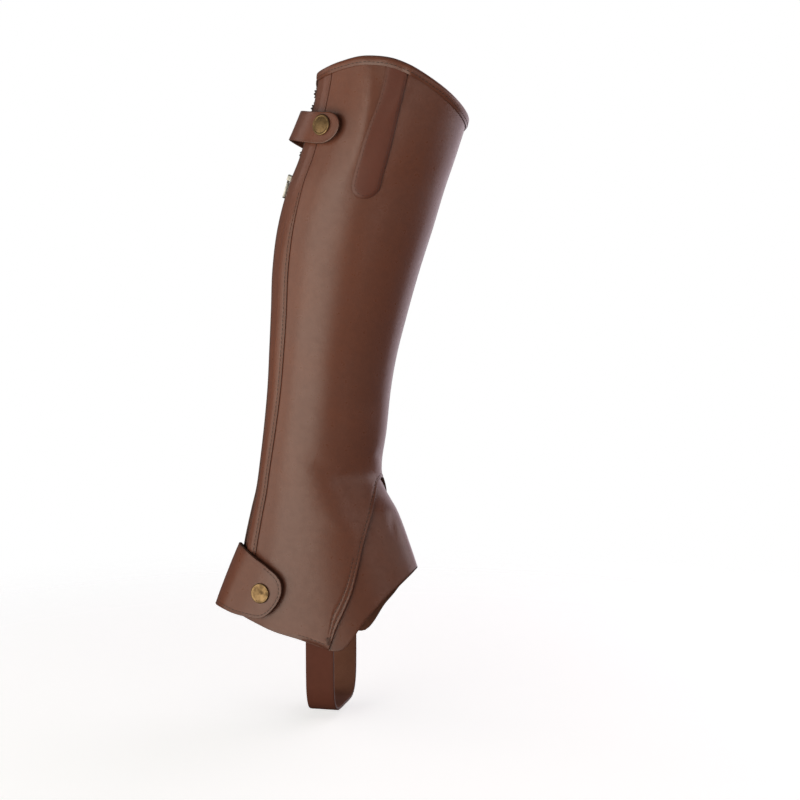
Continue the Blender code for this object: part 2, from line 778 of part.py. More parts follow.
def material(name, colour, roughness, metallic=0.0):
    made = bpy.data.materials.new(name)
    made.use_nodes = True
    shader = made.node_tree.nodes["Principled BSDF"]
    shader.inputs["Base Color"].default_value = (*colour, 1)
    shader.inputs["Roughness"].default_value = roughness
    shader.inputs["Metallic"].default_value = metallic
    made.diffuse_color = (*colour, 1)
    return made


def main():
    for thing in list(bpy.data.objects):
        bpy.data.objects.remove(thing, do_unlink=True)
    brown = (0.13, 0.06, 0.042)
    red_brown = (0.11, 0.034, 0.022)
    main_panel(material("panel leather", brown, 0.38))
    vamp(material("vamp leather", brown, 0.38))
    back_strip(material("back strip leather", brown, 0.38))
    side_strip(material("side strip leather", red_brown, 0.34))
    top_binding(material("binding leather", brown, 0.36))
    top_tab(material("tab leather", brown, 0.38))
    heel_flap(material("flap leather", brown, 0.38))
    stirrup_strap(material("strap leather", red_brown, 0.4))
    tape = material("zip tape", (0.05, 0.025, 0.018), 0.85)
    teeth = material("zip teeth", (0.06, 0.03, 0.022), 0.45)
    zip_tape("zip_tape_outer", 1, tape)
    zip_tape("zip_tape_inner", -1, tape)
    chain_bottom = hem_height(ZIP_ANGLE) + CHAIN_ABOVE_HEM
    teeth_top = rim_height(ZIP_ANGLE) - BINDING_WIDTH - TEETH_BELOW_BINDING
    zip_bar("zip_chain", 0, chain_bottom, SLIDER_BOTTOM - SLIDER_CLEAR, 18, teeth)
    zip_bar("zip_row_outer", 1, SLIDER_TOP + SLIDER_CLEAR, teeth_top, 22, teeth)
    zip_bar("zip_row_inner", -1, SLIDER_TOP + SLIDER_CLEAR, teeth_top, 22, teeth)
    brass = material("snap brass", (0.36, 0.22, 0.1), 0.4, 1.0)
    snap("top_snap", tab_point, TAB_SNAP, TAB_SNAP_SHARE, brass)
    snap("heel_snap", flap_point, FLAP_SNAP, FLAP_SNAP_SHARE, brass)
    nickel = material("slider metal", (0.62, 0.6, 0.58), 0.3, 1.0)
    zip_slider(nickel)
    zip_pull(nickel)


main()
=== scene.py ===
"""Looks of the right half chap: each leather is cut flat, given its thickness and wrapped on the leg form.

The tables and the form are those of the part's source, in millimetres and degrees. An angle runs round the
leg from the front: -90 is the outer side, 90 the inner side, 180 the back. Meshes are finished in metres.
"""

from collections import namedtuple
from functools import lru_cache
from math import ceil, cos, exp, floor, hypot, pi, radians, sin

import bmesh
import bpy
from mathutils import Matrix, Vector, kdtree, noise


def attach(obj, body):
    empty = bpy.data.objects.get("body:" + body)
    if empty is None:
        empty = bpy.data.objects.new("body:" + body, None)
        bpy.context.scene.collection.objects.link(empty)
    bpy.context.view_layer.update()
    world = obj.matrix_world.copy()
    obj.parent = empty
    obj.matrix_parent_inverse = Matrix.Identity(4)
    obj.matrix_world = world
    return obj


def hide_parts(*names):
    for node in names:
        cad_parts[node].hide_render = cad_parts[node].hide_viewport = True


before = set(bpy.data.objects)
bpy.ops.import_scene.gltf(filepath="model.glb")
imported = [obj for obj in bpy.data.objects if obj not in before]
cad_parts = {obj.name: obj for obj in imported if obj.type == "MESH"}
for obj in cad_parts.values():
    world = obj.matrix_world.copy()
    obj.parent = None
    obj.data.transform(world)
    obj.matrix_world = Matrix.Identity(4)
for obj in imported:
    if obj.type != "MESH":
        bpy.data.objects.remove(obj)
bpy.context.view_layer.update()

MM = 0.001


def named_rows(kind, *rows):
    """A table whose rows are named tuples of one kind."""
    return tuple(kind(*row) for row in rows)


# Leathers, zip and the gap between pieces
GAP = 0.3
MAIN_THICK = 1.8
STRIP_THICK = 1.5
BINDING_THICK = 1.0
TAB_THICK = 2.2
STRAP_THICK = 2.2
TAPE_THICK = 0.9

# The outside of the main panel, level by level
Level = namedtuple("Level", "height back front half_width back_round")
LEVELS = named_rows(
    Level,
    (-345, -106, 65, 39.5, 0.20),
    (-300, -100, 48.2, 39, 0.20),
    (-265, -94, 36.2, 38.5, 0.18),
    (-240, -88.2, 26.4, 38.5, 0.16),
    (-225, -84.4, 17.6, 38.5, 0.14),
    (-210, -82, 11.8, 38.5, 0.12),
    (-180, -78.1, 15.4, 39.5, 0.10),
    (-150, -75, 18.6, 41, 0.08),
    (-120, -73, 24, 43.5, 0.08),
    (-90, -71.3, 31.9, 46.5, 0.08),
    (-60, -69.8, 40.5, 49.5, 0.08),
    (-30, -65.6, 50.3, 52, 0.08),
    (0, -57.2, 59.4, 54.5, 0.08),
    (22, -47.8, 66.9, 56, 0.08),
    (45, -41, 74.6, 57, 0.07),
    (75, -34.4, 84.6, 58, 0.06),
    (105, -31, 91.6, 58.5, 0.06),
)
SQUARENESS = 0.025

# Heights of the rim, the lower hem, the vamp's seam and the vamp's lower edge, by angle
EdgePoint = namedtuple("EdgePoint", "angle height")
RIM = named_rows(
    EdgePoint,
    (-180, 79.2), (-161, 80), (-140, 81.9), (-121, 85.2), (-107, 87.5), (-95, 87.4), (-82, 85.2),
    (-69, 80), (-49, 69.6), (-33, 61.8), (-19, 56.2), (0, 51), (30, 46.5), (60, 46.5), (95, 51),
    (130, 62), (165, 74.4), (185, 78.6), (200, 80),
)
HEM = named_rows(
    EdgePoint,
    (88, -339.5), (100, -333.6), (117, -328.2), (134, -322), (161, -316.5), (185, -315),
)
VAMP_SEAM = named_rows(
    EdgePoint,
    (0, -214.5), (17, -218), (31, -227.4), (44, -239.5), (57, -260.3), (66, -283.7), (71, -297.7),
    (78, -313.2), (83, -324.4), (88, -339.5),
)
VAMP_HEM = named_rows(
    EdgePoint,
    (0, -281), (10, -282.3), (24, -285.7), (38, -292.2), (51, -301.2), (57, -307.4), (67, -318.7),
    (77, -334.6), (82, -340.2), (88, -340.4), (97, -334),
)
HEM_CORNER = 88

# The zip and its parted top
ZIP_ANGLE = -161
ZIP_HALF_GAP = 6
ZIP_PARTED_HALF_GAP = 11
ZIP_PARTS_AT = 12
ZIP_PARTED_BY = 50
TAPE_WIDTH = 11
TAPE_DEPTH = 2.2
TAPE_BELOW_BINDING = 0.6
TEETH_BELOW_BINDING = 3
CHAIN_ABOVE_HEM = 4
CHAIN_HALF_WIDTH = 3
CHAIN_THICK = 2.6
HALF_CHAIN_WIDTH = 2.8
SLIDER_BOTTOM = 0
SLIDER_TOP = 11
SLIDER_CLEAR = 0.9
WAVE_HEIGHT = 0.8
WAVE_LENGTH = 11
TAPE_CURL = 1.35
TOOTH_PITCH = 2.1
TOOTH_THICK = 1.25

# The back strip
STRIP_REACH_CALF = 34.7
STRIP_REACH_HEEL = 23.5
STRIP_WIDENS_FROM = -250
STRIP_WIDENS_TO = -40
STRIP_MIDDLE = 15
STRIP_LAP = 8
STRIP_STEP_STARTS = 0.6
STRIP_STEP_ENDS = 5
STRIP_CLEAR_OF_RIM = 1.2

# The main panel's edges, the vamp under it and the binding over the rim
PANEL_START = -131
PANEL_END = 192
PANEL_DRAWN_OVER = 40
VAMP_OUT = -MAIN_THICK - GAP - 0.2
VAMP_REACH = 95
VAMP_LAP_TURN = 9
VAMP_LAP_RISE = 6
BINDING_WIDTH = 4.5
BINDING_CLEAR_INSIDE = 0.1
BINDING_RISE_CLEAR = 3
BINDING_RISE_RAMP = 10

# The side strip's middle and half width, level by level from its round end
SideLevel = namedtuple("SideLevel", "height angle half_width")
SIDE_LEVELS = named_rows(
    SideLevel,
    (-9.4, -75.8, 10.4),
    (6, -77.8, 10.4),
    (28, -79, 10.2),
    (45, -79, 9.2),
    (60, -78.6, 8.2),
    (84, -79, 7.9),
)
SIDE_BOTTOM = -9.4
SIDE_END_LENGTH = 10.4
SIDE_TOP_ANGLE = -79
SIDE_TOP_HALF_WIDTH = 8

# The top tab and the heel flap, by distance round from the zip. The flap's edges run on square past its nose,
# which is then cut round.
TabCross = namedtuple("TabCross", "distance middle low_out high_out")
TAB_CROSSES = named_rows(
    TabCross,
    (-56, 35.2, 0.5, 0.5),
    (-40, 38.2, 0.8, 0.6),
    (-26, 40.7, 3.6, 2.0),
    (-12, 42.6, 7.2, 4.4),
    (0, 43.2, 8.6, 5.0),
    (12, 42.6, 8.4, 5.0),
    (28, 40.9, 6.6, 5.0),
    (42, 39.9, 5.0, 4.6),
    (55, 39.9, 4.2, 4.2),
)
TAB_HALF_WIDTH = 11
TAB_ROOT = -56
TAB_TIP = 54.9
TAB_SNAP = 42
TAB_SNAP_SHARE = 0.583
FlapCross = namedtuple("FlapCross", "distance bottom top low_out high_out")
FLAP_CROSSES = named_rows(
    FlapCross,
    (-50, -313, -284, 0.7, 0.7),
    (-36, -314, -279, 1.8, 0.8),
    (-18, -315, -271.5, 8.2, 1.0),
    (-2, -314.5, -266.5, 13.0, 1.4),
    (9, -314.5, -267, 12.0, 2.6),
    (20, -316.5, -270, 8.8, 3.4),
    (31, -317.5, -275, 6.0, 3.6),
    (41, -317.9, -279.1, 4.6, 3.6),
    (52.4, -313.9, -279.3, 3.3, 3.2),
)
FLAP_ROOT = -50
FLAP_NOSE_STARTS = 34
FLAP_NOSE = 52.5
FLAP_HALF_HEIGHT = 19
FLAP_SNAP = 37
FLAP_SNAP_SHARE = 0.48

# The snaps' caps, with a rolled rim round a shallow domed middle, and their studs
SNAP_CAP_RADIUS = 7.5
CapPoint = namedtuple("CapPoint", "radius_share rise")
CAP_PROFILE = named_rows(
    CapPoint,
    (0, 0), (0.92, 0), (0.985, 0.2), (1, 0.5), (0.985, 0.8), (0.94, 1.02), (0.88, 1.12), (0.83, 1.06),
    (0.79, 0.98), (0.74, 1.02), (0.62, 1.16), (0.42, 1.3), (0.2, 1.38), (0, 1.4),
)
STUD_BASE_RADIUS = 4.6
STUD_NECK_RADIUS = 3.2
STUD_TOP_CLEAR = 0.35
STUD_FOOT_CLEAR = 0.1
STUD_BASE_ROUND = 0.3
STUD_BASE_SIDE = 0.25
STUD_BASE_SHARE = 0.45
STUD_NECK_FROM = 0.55
STUD_NECK_ROUND = 0.2
CAP_SIDES = 56
STUD_SIDES = 32

# The stirrup strap's middle line, station by station from inside one hem to the middle of the sole
STRAP_MIDDLE_X = -26.8
STRAP_WIDTH = 21.5
STRAP_EDGE_LINES = (0.8, 2, 4.5)
StrapPoint = namedtuple("StrapPoint", "station half_across height")
STRAP_PATH = named_rows(
    StrapPoint,
    (0, 32.8, -324), (1, 33.0, -345), (2, 32.8, -362), (3, 31.6, -375), (4, 27.6, -384.2),
    (5, 20.4, -388.4), (6, 10, -389.2), (7, 0, -389.2),
)

# The slider in its own frame: x across the zip, y along it upwards, z away from the leg
SLIDER_HALF_WIDTH = 4.6
SLIDER_NARROW_HALF_WIDTH = 3.7
SLIDER_PLATE_TOP = -0.8
SLIDER_PLATE_BOTTOM = -1.5
SLIDER_BACK_TOP = -3.8
SLIDER_BACK_BOTTOM = -4.9
SLIDER_WEB_HALF_WIDTH = 1.8
SLIDER_SUNK = 0.6
PULL_AXIS_ALONG = 8.2
PULL_AXIS_OUT = 1.1
PULL_BARREL_RADIUS = 1.1
PULL_BARREL_HALF = 1.6
EAR_THICK = 1.1
EAR_HALF_LENGTH = 2.0
EAR_ABOVE_AXIS = 1.5
PULL_LENGTH = 15.5
PULL_TIP_DROP = 1.2
PULL_THICK = 1.8
PullPoint = namedtuple("PullPoint", "half_width reach")
PULL_OUTLINE = named_rows(
    PullPoint,
    (1.36, -0.2), (1.36, 2), (1.7, 3.1), (2.4, 3.9), (2.4, 13.2), (2.1, 14.6), (1.3, PULL_LENGTH),
)

# Soft creases of the worn leather, each from one point of the leg to another. A negative depth is a ridge.
Crease = namedtuple("Crease", "angle height to_angle to_height half_width depth")
CREASES = named_rows(
    Crease,
    (-98, -197, -60, -214, 9, 0.55),
    (-72, -222, -38, -206, 6, 0.45),
    (-128, -212, -101, -223, 8, 0.6),
    (-86, -236, -58, -262, 10, -0.45),
    (-60, -150, -22, -172, 12, 0.4),
    (-24, -196, 10, -204, 6, 0.6),
    (-104, -96, -88, -40, 11, -0.3),
    (-64, -60, -50, 20, 13, 0.3),
    (-118, -150, -106, -70, 10, 0.25),
    (-30, -262, -12, -238, 7, 0.6),
    (-40, -290, -26, -266, 6, -0.4),
    (38, -205, 74, -214, 8, 0.65),
    (66, -190, 104, -200, 9, 0.5),
    (96, -228, 132, -214, 8, 0.6),
    (120, -190, 158, -197, 7, 0.55),
    (128, -240, 160, -228, 6, 0.5),
    (20, -158, 52, -170, 11, 0.4),
    (80, -110, 92, -30, 14, 0.35),
    (118, -60, 130, 10, 12, -0.3),
    (28, -258, 44, -282, 7, 0.5),
    (146, -120, 160, -60, 9, 0.3),
    (-122, 130, -96, -20, 9, -1.3),
    (-77, 118, -78, 38, 5, -1.0),
)
CREASE_BOW = 0.1
UNEVEN_DEPTH = 0.14
UNEVEN_LENGTH = 34
EVEN_BY_ZIP = 2
UNEVEN_FROM_ZIP = 14

# Seams: a row's distance from the cut edge, a stitch's length and thickness, and the groove that it draws in
SEAM_INSET = 2.2
SECOND_ROW = 5.2
STITCH_LENGTH = 2.5
STITCH_PITCH = 3.2
STITCH_THICK = 0.55
GROOVE_DEPTH = 0.22
GROOVE_HALF_WIDTH = 0.9
STITCH_PROUD = 0.12
TRAIL_STEPS = 12

# How far each piece's cut edges are rounded over, and where a surface turns sharp
EDGE_ROUND = 0.3
STRIP_ROUND = 0.45
TAB_ROUND = 0.4
BINDING_ROUND = 0.15
TAPE_ROUND = 0.2
SLIDER_ROUND = 0.22
PULL_ROUND = 0.1
SHARP_PAST = radians(40)
METAL_SHARP_PAST = radians(50)
METAL_ROUNDED_PAST = radians(35)


def smoothstep(low, high, value):
    t = min(1.0, max(0.0, (value - low) / (high - low)))
    return t * t * (3 - 2 * t)


def row_slope(rows, low, high, column):
    return (rows[high][column] - rows[low][column]) / (rows[high][0] - rows[low][0])


def smooth_value(rows, at, column):
    """Value of a table's column on a smooth curve through its rows, whose first column runs upwards."""
    last = len(rows) - 1
    if at <= rows[0][0]:
        return rows[0][column] + (at - rows[0][0]) * row_slope(rows, 0, 1, column)
    if at >= rows[last][0]:
        return rows[last][column] + (at - rows[last][0]) * row_slope(rows, last - 1, last, column)
    i = next(k for k in range(last) if at <= rows[k + 1][0])
    span = rows[i + 1][0] - rows[i][0]
    t = (at - rows[i][0]) / span
    start_slope = row_slope(rows, max(i - 1, 0), i + 1, column) * span
    end_slope = row_slope(rows, i, min(i + 2, last), column) * span
    rise = t * t * (3 - 2 * t)
    return (
        rows[i][column] * (1 - rise)
        + rows[i + 1][column] * rise
        + (t**3 - 2 * t**2 + t) * start_slope
        + (t**3 - t**2) * end_slope
    )


def between(values, place):
    """Value at a fractional place in a list of tuples."""
    low = min(max(floor(place), 0), len(values) - 2)
    share = place - low
    return [a + (b - a) * share for a, b in zip(values[low], values[low + 1])]


@lru_cache(maxsize=None)
def section_at(whole):
    return tuple(smooth_value(LEVELS, whole, column) for column in range(1, 5))


def section(height):
    """Back, front, half width and roundness of the leg form at a height."""
    low = floor(height)
    share = height - low
    return [a + (b - a) * share for a, b in zip(section_at(low), section_at(low + 1))]


def form_point(angle, height):
    """A point of the outside of the leg form: an oval, fuller at the back and slightly squared."""
    back, front, half_width, back_round = section(height)
    along = cos(radians(angle))
    across = sin(radians(angle))
    full = 1 + SQUARENESS * sin(radians(2 * angle)) ** 2
    x = (front + back) / 2 + (front - back) / 2 * along * full
    y = half_width * across * (1 - back_round * along) * full
    return Vector((x, y, height))


def form_normal(angle, height):
    round_way = form_point(angle + 0.1, height) - form_point(angle - 0.1, height)
    up_way = form_point(angle, height + 0.5) - form_point(angle, height - 0.5)
    return round_way.cross(up_way).normalized()


def crease_lift(crease, angle, height, rate):
    """How far one crease lifts a point; rate is the length of a degree round the leg."""
    run = (crease.to_angle - crease.angle) * rate, crease.to_height - crease.height
    at = (angle - crease.angle) * rate, height - crease.height
    length = hypot(*run)
    t = (at[0] * run[0] + at[1] * run[1]) / length**2
    if not 0 < t < 1:
        return 0
    aside = (at[0] * run[1] - at[1] * run[0]) / length + CREASE_BOW * length * sin(pi * t)
    return -crease.depth * sin(pi * t) ** 1.5 * exp(-((aside / crease.half_width) ** 2) * 2)


def relief(angle, height):
    """The worn leather's unevenness above the plain form: its creases and a slight waviness."""
    angle = (angle + 180) % 360 - 180
    back, front, half_width, _ = section(height)
    rate = (front - back + 2 * half_width) / 4 * pi / 180
    lift = 0
    for crease in CREASES:
        reach = 2.5 * crease.half_width
        if crease.height - reach < height < crease.to_height + reach or (
            crease.to_height - reach < height < crease.height + reach
        ):
            lift += crease_lift(crease, angle, height, rate)
    still = smoothstep(EVEN_BY_ZIP, UNEVEN_FROM_ZIP, abs(angle - ZIP_ANGLE))
    waviness = noise.noise(form_point(angle, height) / UNEVEN_LENGTH)
    return (lift + UNEVEN_DEPTH * waviness) * still


def on_leg(angle, height, out):
    """The point that lies out millimetres above the leg form."""
    return form_point(angle, height) + form_normal(angle, height) * (out + relief(angle, height))


def on_form(angle, height, out):
    """The same without the leather's unevenness, for what stands off the leg."""
    return form_point(angle, height) + form_normal(angle, height) * out


@lru_cache(maxsize=None)
def walk(angle, height, distance):
    """The angle reached from another by going this many millimetres round the leg at one height."""
    steps = max(1, ceil(abs(distance) / 4))
    for _ in range(steps):
        rate = (form_point(angle + 1, height) - form_point(angle - 1, height)).length / 2
        middle = angle + distance / steps / rate / 2
        rate = (form_point(middle + 1, height) - form_point(middle - 1, height)).length / 2
        angle += distance / steps / rate
    return angle


def from_zip(distance, height):
    """The angle this far round from the zip's middle: positive on the outer side, negative on the inner."""
    return walk(ZIP_ANGLE, height, distance)


def half_gap(height):
    parted = smoothstep(ZIP_PARTS_AT, ZIP_PARTED_BY, height)
    return ZIP_HALF_GAP + (ZIP_PARTED_HALF_GAP - ZIP_HALF_GAP) * parted


def strip_reach(height):
    widened = smoothstep(STRIP_WIDENS_FROM, STRIP_WIDENS_TO, height)
    return STRIP_REACH_HEEL + (STRIP_REACH_CALF - STRIP_REACH_HEEL) * widened


def turned(angle):
    """An angle from the front without its side: 0 at the front, 180 at the back."""
    return abs((angle + 180) % 360 - 180)


def rim_height(angle):
    return smooth_value(RIM, angle, 1)


def hem_height(angle):
    return smooth_value(HEM, turned(angle), 1)


def main_bottom(angle):
    return smooth_value(VAMP_SEAM if turned(angle) < HEM_CORNER else HEM, turned(angle), 1)


def spread(*anchors):
    """A list of values from (value, steps to the next) pairs."""
    values = []
    for (start, steps), (end, _) in zip(anchors, anchors[1:]):
        values += [start + (end - start) * k / steps for k in range(steps)]
    return values + [anchors[-1][0]]


def groove(inset, *rows):
    """How far a surface is drawn in this far from its edge, by rows of stitches."""
    return sum(GROOVE_DEPTH * exp(-(((inset - row) / GROOVE_HALF_WIDTH) ** 2)) for row in rows)


# Finishes


class Signal:
    """A value that varies over a surface. Arithmetic on it adds Math nodes."""

    def __init__(self, finish, socket):
        self.finish = finish
        self.socket = socket

    def maths(self, operation, *values):
        return self.finish.node("ShaderNodeMath", {"operation": operation}, dict(enumerate(values)))

    def __add__(self, other):
        return self.maths("ADD", self, other)

    def __sub__(self, other):
        return self.maths("SUBTRACT", self, other)

    def __rsub__(self, other):
        return self.maths("SUBTRACT", other, self)

    def __mul__(self, other):
        return self.maths("MULTIPLY", self, other)

    __radd__ = __add__
    __rmul__ = __mul__


def opaque(colour):
    """A colour with its alpha, unless it is a socket's."""
    return colour if isinstance(colour, Signal) else (*colour, 1)


class Finish:
    """A material, with short ways to make its nodes."""

    def __init__(self, name, sockets):
        self.material = bpy.data.materials.new(name)
        self.material.use_nodes = True
        self.tree = self.material.node_tree
        self.shader = self.tree.nodes["Principled BSDF"]
        self.fill(self.shader, sockets)
        self.place = self.node("ShaderNodeTexCoord", {}, {}, "Object")

    def fill(self, node, sockets):
        for key, value in sockets.items():
            if isinstance(value, Signal):
                self.tree.links.new(value.socket, node.inputs[key])
            else:
                node.inputs[key].default_value = value

    def node(self, kind, settings, sockets, out=0):
        made = self.tree.nodes.new(kind)
        for key, value in settings.items():
            setattr(made, key, value)
        self.fill(made, sockets)
        return Signal(self, made.outputs[out])

    def noise(self, per_metre, detail=2.0, roughness=0.5, at=None):
        sockets = {"Vector": at or self.place, "Scale": per_metre, "Detail": detail, "Roughness": roughness}
        return self.node("ShaderNodeTexNoise", {}, sockets)

    def cells(self, per_metre):
        sockets = {"Vector": self.place, "Scale": per_metre}
        return self.node("ShaderNodeTexVoronoi", {"feature": "F1"}, sockets)

    def ramp(self, value, low, high, to_low=0.0, to_high=1.0):
        sockets = {"Value": value, "From Min": low, "From Max": high, "To Min": to_low, "To Max": to_high}
        return self.node("ShaderNodeMapRange", {"interpolation_type": "SMOOTHSTEP"}, sockets)

    def blend(self, share, first, second):
        """Mixes two colours."""
        sockets = {"Factor": share, 6: opaque(first), 7: opaque(second)}
        return self.node("ShaderNodeMix", {"data_type": "RGBA"}, sockets, 2)

    def attribute(self, name):
        return self.node("ShaderNodeAttribute", {"attribute_name": name}, {}, "Fac")

    def bump(self, height, distance):
        return self.node("ShaderNodeBump", {}, {"Height": height, "Distance": distance, "Strength": 1.0})

    def wear(self, **sockets):
        self.fill(self.shader, {key.replace("_", " "): value for key, value in sockets.items()})
        return self.material


def smooth_leather(name, colour, warm, dark, roughness, specular=0.5):
    """Dyed smooth leather: cloudy colour, fine grain, burnished near its cut edges."""
    finish = Finish(name, {"Specular IOR Level": specular})
    clouds = finish.ramp(finish.noise(26, 3.0), 0.3, 0.7)
    mottle = finish.noise(210, 3.0, 0.6)
    grain = finish.cells(1300)
    fibre = finish.noise(2600, 2.0, 0.6)
    near_edge = finish.ramp(finish.attribute("edge"), 0.0, 3.5, 1.0, 0.0)
    tint = finish.blend(clouds, colour, warm)
    tint = finish.blend(finish.ramp(mottle, 0.35, 0.75, 0.0, 0.25), tint, dark)
    tint = finish.blend(near_edge * 0.45, tint, dark)
    height = fibre * 0.3 + mottle * 0.5 - grain * 0.35
    return finish.wear(
        Base_Color=tint,
        Roughness=roughness + (mottle - 0.5) * 0.16 - near_edge * 0.05,
        Normal=finish.bump(height, 0.00009),
    )


def flesh_side(name, colour, pale):
    """The unfinished inside of the leather, short-napped."""
    finish = Finish(name, {"Specular IOR Level": 0.2})
    nap = finish.noise(900, 4.0, 0.7)
    clouds = finish.ramp(finish.noise(40, 3.0), 0.3, 0.7)
    share = clouds * 0.6 + nap * 0.4
    return finish.wear(
        Base_Color=finish.blend(share, colour, pale),
        Roughness=finish.ramp(nap, 0.2, 0.8, 0.82, 0.95),
        Normal=finish.bump(nap, 0.0003),
    )


def painted_edge(name, colour, worn):
    """The cut edge, with its edge paint rubbed in places."""
    finish = Finish(name, {"Specular IOR Level": 0.3})
    rubbed = finish.ramp(finish.noise(420, 3.0), 0.45, 0.7)
    return finish.wear(
        Base_Color=finish.blend(rubbed, colour, worn),
        Roughness=finish.ramp(rubbed, 0.0, 1.0, 0.6, 0.75),
        Normal=finish.bump(finish.noise(1500, 3.0), 0.00008),
    )


def waxed_thread(name, colour, pale):
    finish = Finish(name, {})
    strands = finish.noise(3200, 2.0)
    return finish.wear(
        Base_Color=finish.blend(finish.ramp(strands, 0.35, 0.65), colour, pale),
        Roughness=finish.ramp(strands, 0.3, 0.7, 0.5, 0.7),
        Normal=finish.bump(strands, 0.00006),
    )


def woven_tape(name, colour, pale):
    """Ribbed zip tape: fine ribs along the zip with a close weft, on the piece's own flat map in metres."""
    finish = Finish(name, {"Specular IOR Level": 0.3})
    flat = finish.node("ShaderNodeUVMap", {"uv_map": "flat"}, {})

    def bands(way, per_metre, distortion):
        settings = {"wave_type": "BANDS", "bands_direction": way, "wave_profile": "SIN"}
        sockets = {"Vector": flat, "Scale": per_metre, "Distortion": distortion, "Detail": 1.0}
        return finish.node("ShaderNodeTexWave", settings, sockets)

    ribs = bands("X", 260.0, 0.4)
    weft = bands("Y", 420.0, 0.6)
    height = ribs * 0.7 + weft * 0.3
    return finish.wear(
        Base_Color=finish.blend(height, colour, pale),
        Roughness=finish.ramp(height, 0.0, 1.0, 0.9, 0.75),
        Normal=finish.bump(height, 0.0002),
    )


def moulded_teeth(name, colour, pale):
    finish = Finish(name, {})
    drawn = finish.noise(900, 2.0)
    return finish.wear(
        Base_Color=finish.blend(drawn, colour, pale),
        Roughness=finish.ramp(drawn, 0.3, 0.7, 0.35, 0.5),
        Normal=finish.bump(drawn, 0.00005),
    )


def worn_metal(name, colour, dull, roughness, per_metre):
    """Plated metal with soft tarnish and fine scratches."""
    finish = Finish(name, {"Metallic": 1.0})
    tarnish = finish.ramp(finish.noise(per_metre, 4.0, 0.6), 0.35, 0.75)
    drawn_out = {"Vector": finish.place, "Rotation": (0.3, 0.5, 0.9), "Scale": (1, 14, 1)}
    stretch = finish.node("ShaderNodeMapping", {}, drawn_out)
    scratches = finish.noise(700, 3.0, 0.6, at=stretch)
    return finish.wear(
        Base_Color=finish.blend(tarnish, colour, dull),
        Roughness=finish.ramp(tarnish + (scratches - 0.5) * 0.6, 0.0, 1.0, roughness, roughness + 0.22),
        Normal=finish.bump(scratches, 0.00004),
    )


BROWN = (0.165, 0.06, 0.038)
WARM_BROWN = (0.176, 0.06, 0.035)
DARK_BROWN = (0.1, 0.035, 0.023)
RED_BROWN = (0.14, 0.042, 0.027)
WARM_RED_BROWN = (0.15, 0.044, 0.027)
STRAP_BROWN = (0.14, 0.043, 0.027)
LEATHER = smooth_leather("brown smooth leather", BROWN, WARM_BROWN, DARK_BROWN, 0.3, 0.36)
RED_LEATHER = smooth_leather("red brown smooth leather", RED_BROWN, WARM_RED_BROWN, DARK_BROWN, 0.42, 0.3)
STRAP_LEATHER = smooth_leather("worn strap leather", STRAP_BROWN, RED_BROWN, DARK_BROWN, 0.6, 0.12)
FLESH = flesh_side("leather inside", (0.15, 0.058, 0.036), (0.22, 0.094, 0.06))
EDGE = painted_edge("painted leather edge", (0.075, 0.032, 0.022), (0.15, 0.075, 0.05))
THREAD = waxed_thread("brown thread", (0.05, 0.024, 0.018), (0.11, 0.055, 0.04))
RED_THREAD = waxed_thread("red brown thread", (0.075, 0.024, 0.016), (0.12, 0.04, 0.026))
TAPE = woven_tape("zip tape", (0.028, 0.014, 0.011), (0.07, 0.036, 0.028))
TEETH = moulded_teeth("zip teeth", (0.045, 0.022, 0.016), (0.075, 0.038, 0.028))
BRASS = worn_metal("snap brass", (0.22, 0.138, 0.068), (0.14, 0.085, 0.042), 0.4, 240)
NICKEL = worn_metal("slider metal", (0.4, 0.38, 0.35), (0.3, 0.28, 0.26), 0.32, 300)


# Making and wrapping


def finished(name, mesh, *materials):
    """An object from a mesh in millimetres, with its faces outwards."""
    bmesh.ops.recalc_face_normals(mesh, faces=mesh.faces)
    bmesh.ops.transform(mesh, matrix=Matrix.Scale(MM, 4), verts=mesh.verts)
    data = bpy.data.meshes.new(name)
    mesh.to_mesh(data)
    mesh.free()
    for material in materials:
        data.materials.append(material)
    data.shade_smooth()
    data.set_sharp_from_angle(angle=SHARP_PAST)
    thing = bpy.data.objects.new(name, data)
    bpy.context.scene.collection.objects.link(thing)
    return thing


def carried(thing, slot, *nodes, body="chap"):
    """Rides a piece on its body, with the solids that it stands for; the finish slot is not used."""
    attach(thing, body)
    if nodes:
        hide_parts(*nodes)
    return thing


def flat_grid(xs, ys):
    """A rectangular cut with lines at these places."""
    mesh = bmesh.new()
    columns, rows = len(xs) - 1, len(ys) - 1
    bmesh.ops.create_grid(mesh, x_segments=columns, y_segments=rows, size=1)
    for vert in mesh.verts:
        column = round((vert.co.x + 1) / 2 * columns)
        row = round((vert.co.y + 1) / 2 * rows)
        vert.co = (xs[column], ys[row], 0)
    return mesh


def outline_stations(root, nose_starts, nose, straight_steps, turn_steps):
    """A round-ended strip's outline from its root round the nose and back: (x, y) pairs, y from -1 to 1."""
    runs = spread((root, straight_steps), (nose_starts, 0))
    turns = spread((-pi / 2, turn_steps), (pi / 2, 0))[1:-1]
    arc = [(nose_starts + (nose - nose_starts) * cos(turn), sin(turn)) for turn in turns]
    return [(x, -1) for x in runs] + arc + [(x, 1) for x in reversed(runs)]


def flat_round_ended(stations, nose_starts, insets):
    """A round-ended cut in rings along its outline; insets run from 0 at the edge to 1 at the middle."""
    mesh = bmesh.new()
    columns, rows = len(stations) - 1, len(insets) - 1
    bmesh.ops.create_grid(mesh, x_segments=columns, y_segments=rows, size=1)
    for vert in mesh.verts:
        x, y = stations[round((vert.co.x + 1) / 2 * columns)]
        vert.co = drawn_in(x, y, nose_starts, insets[round((vert.co.y + 1) / 2 * rows)])
    bmesh.ops.remove_doubles(mesh, verts=mesh.verts, dist=1e-5)
    return mesh


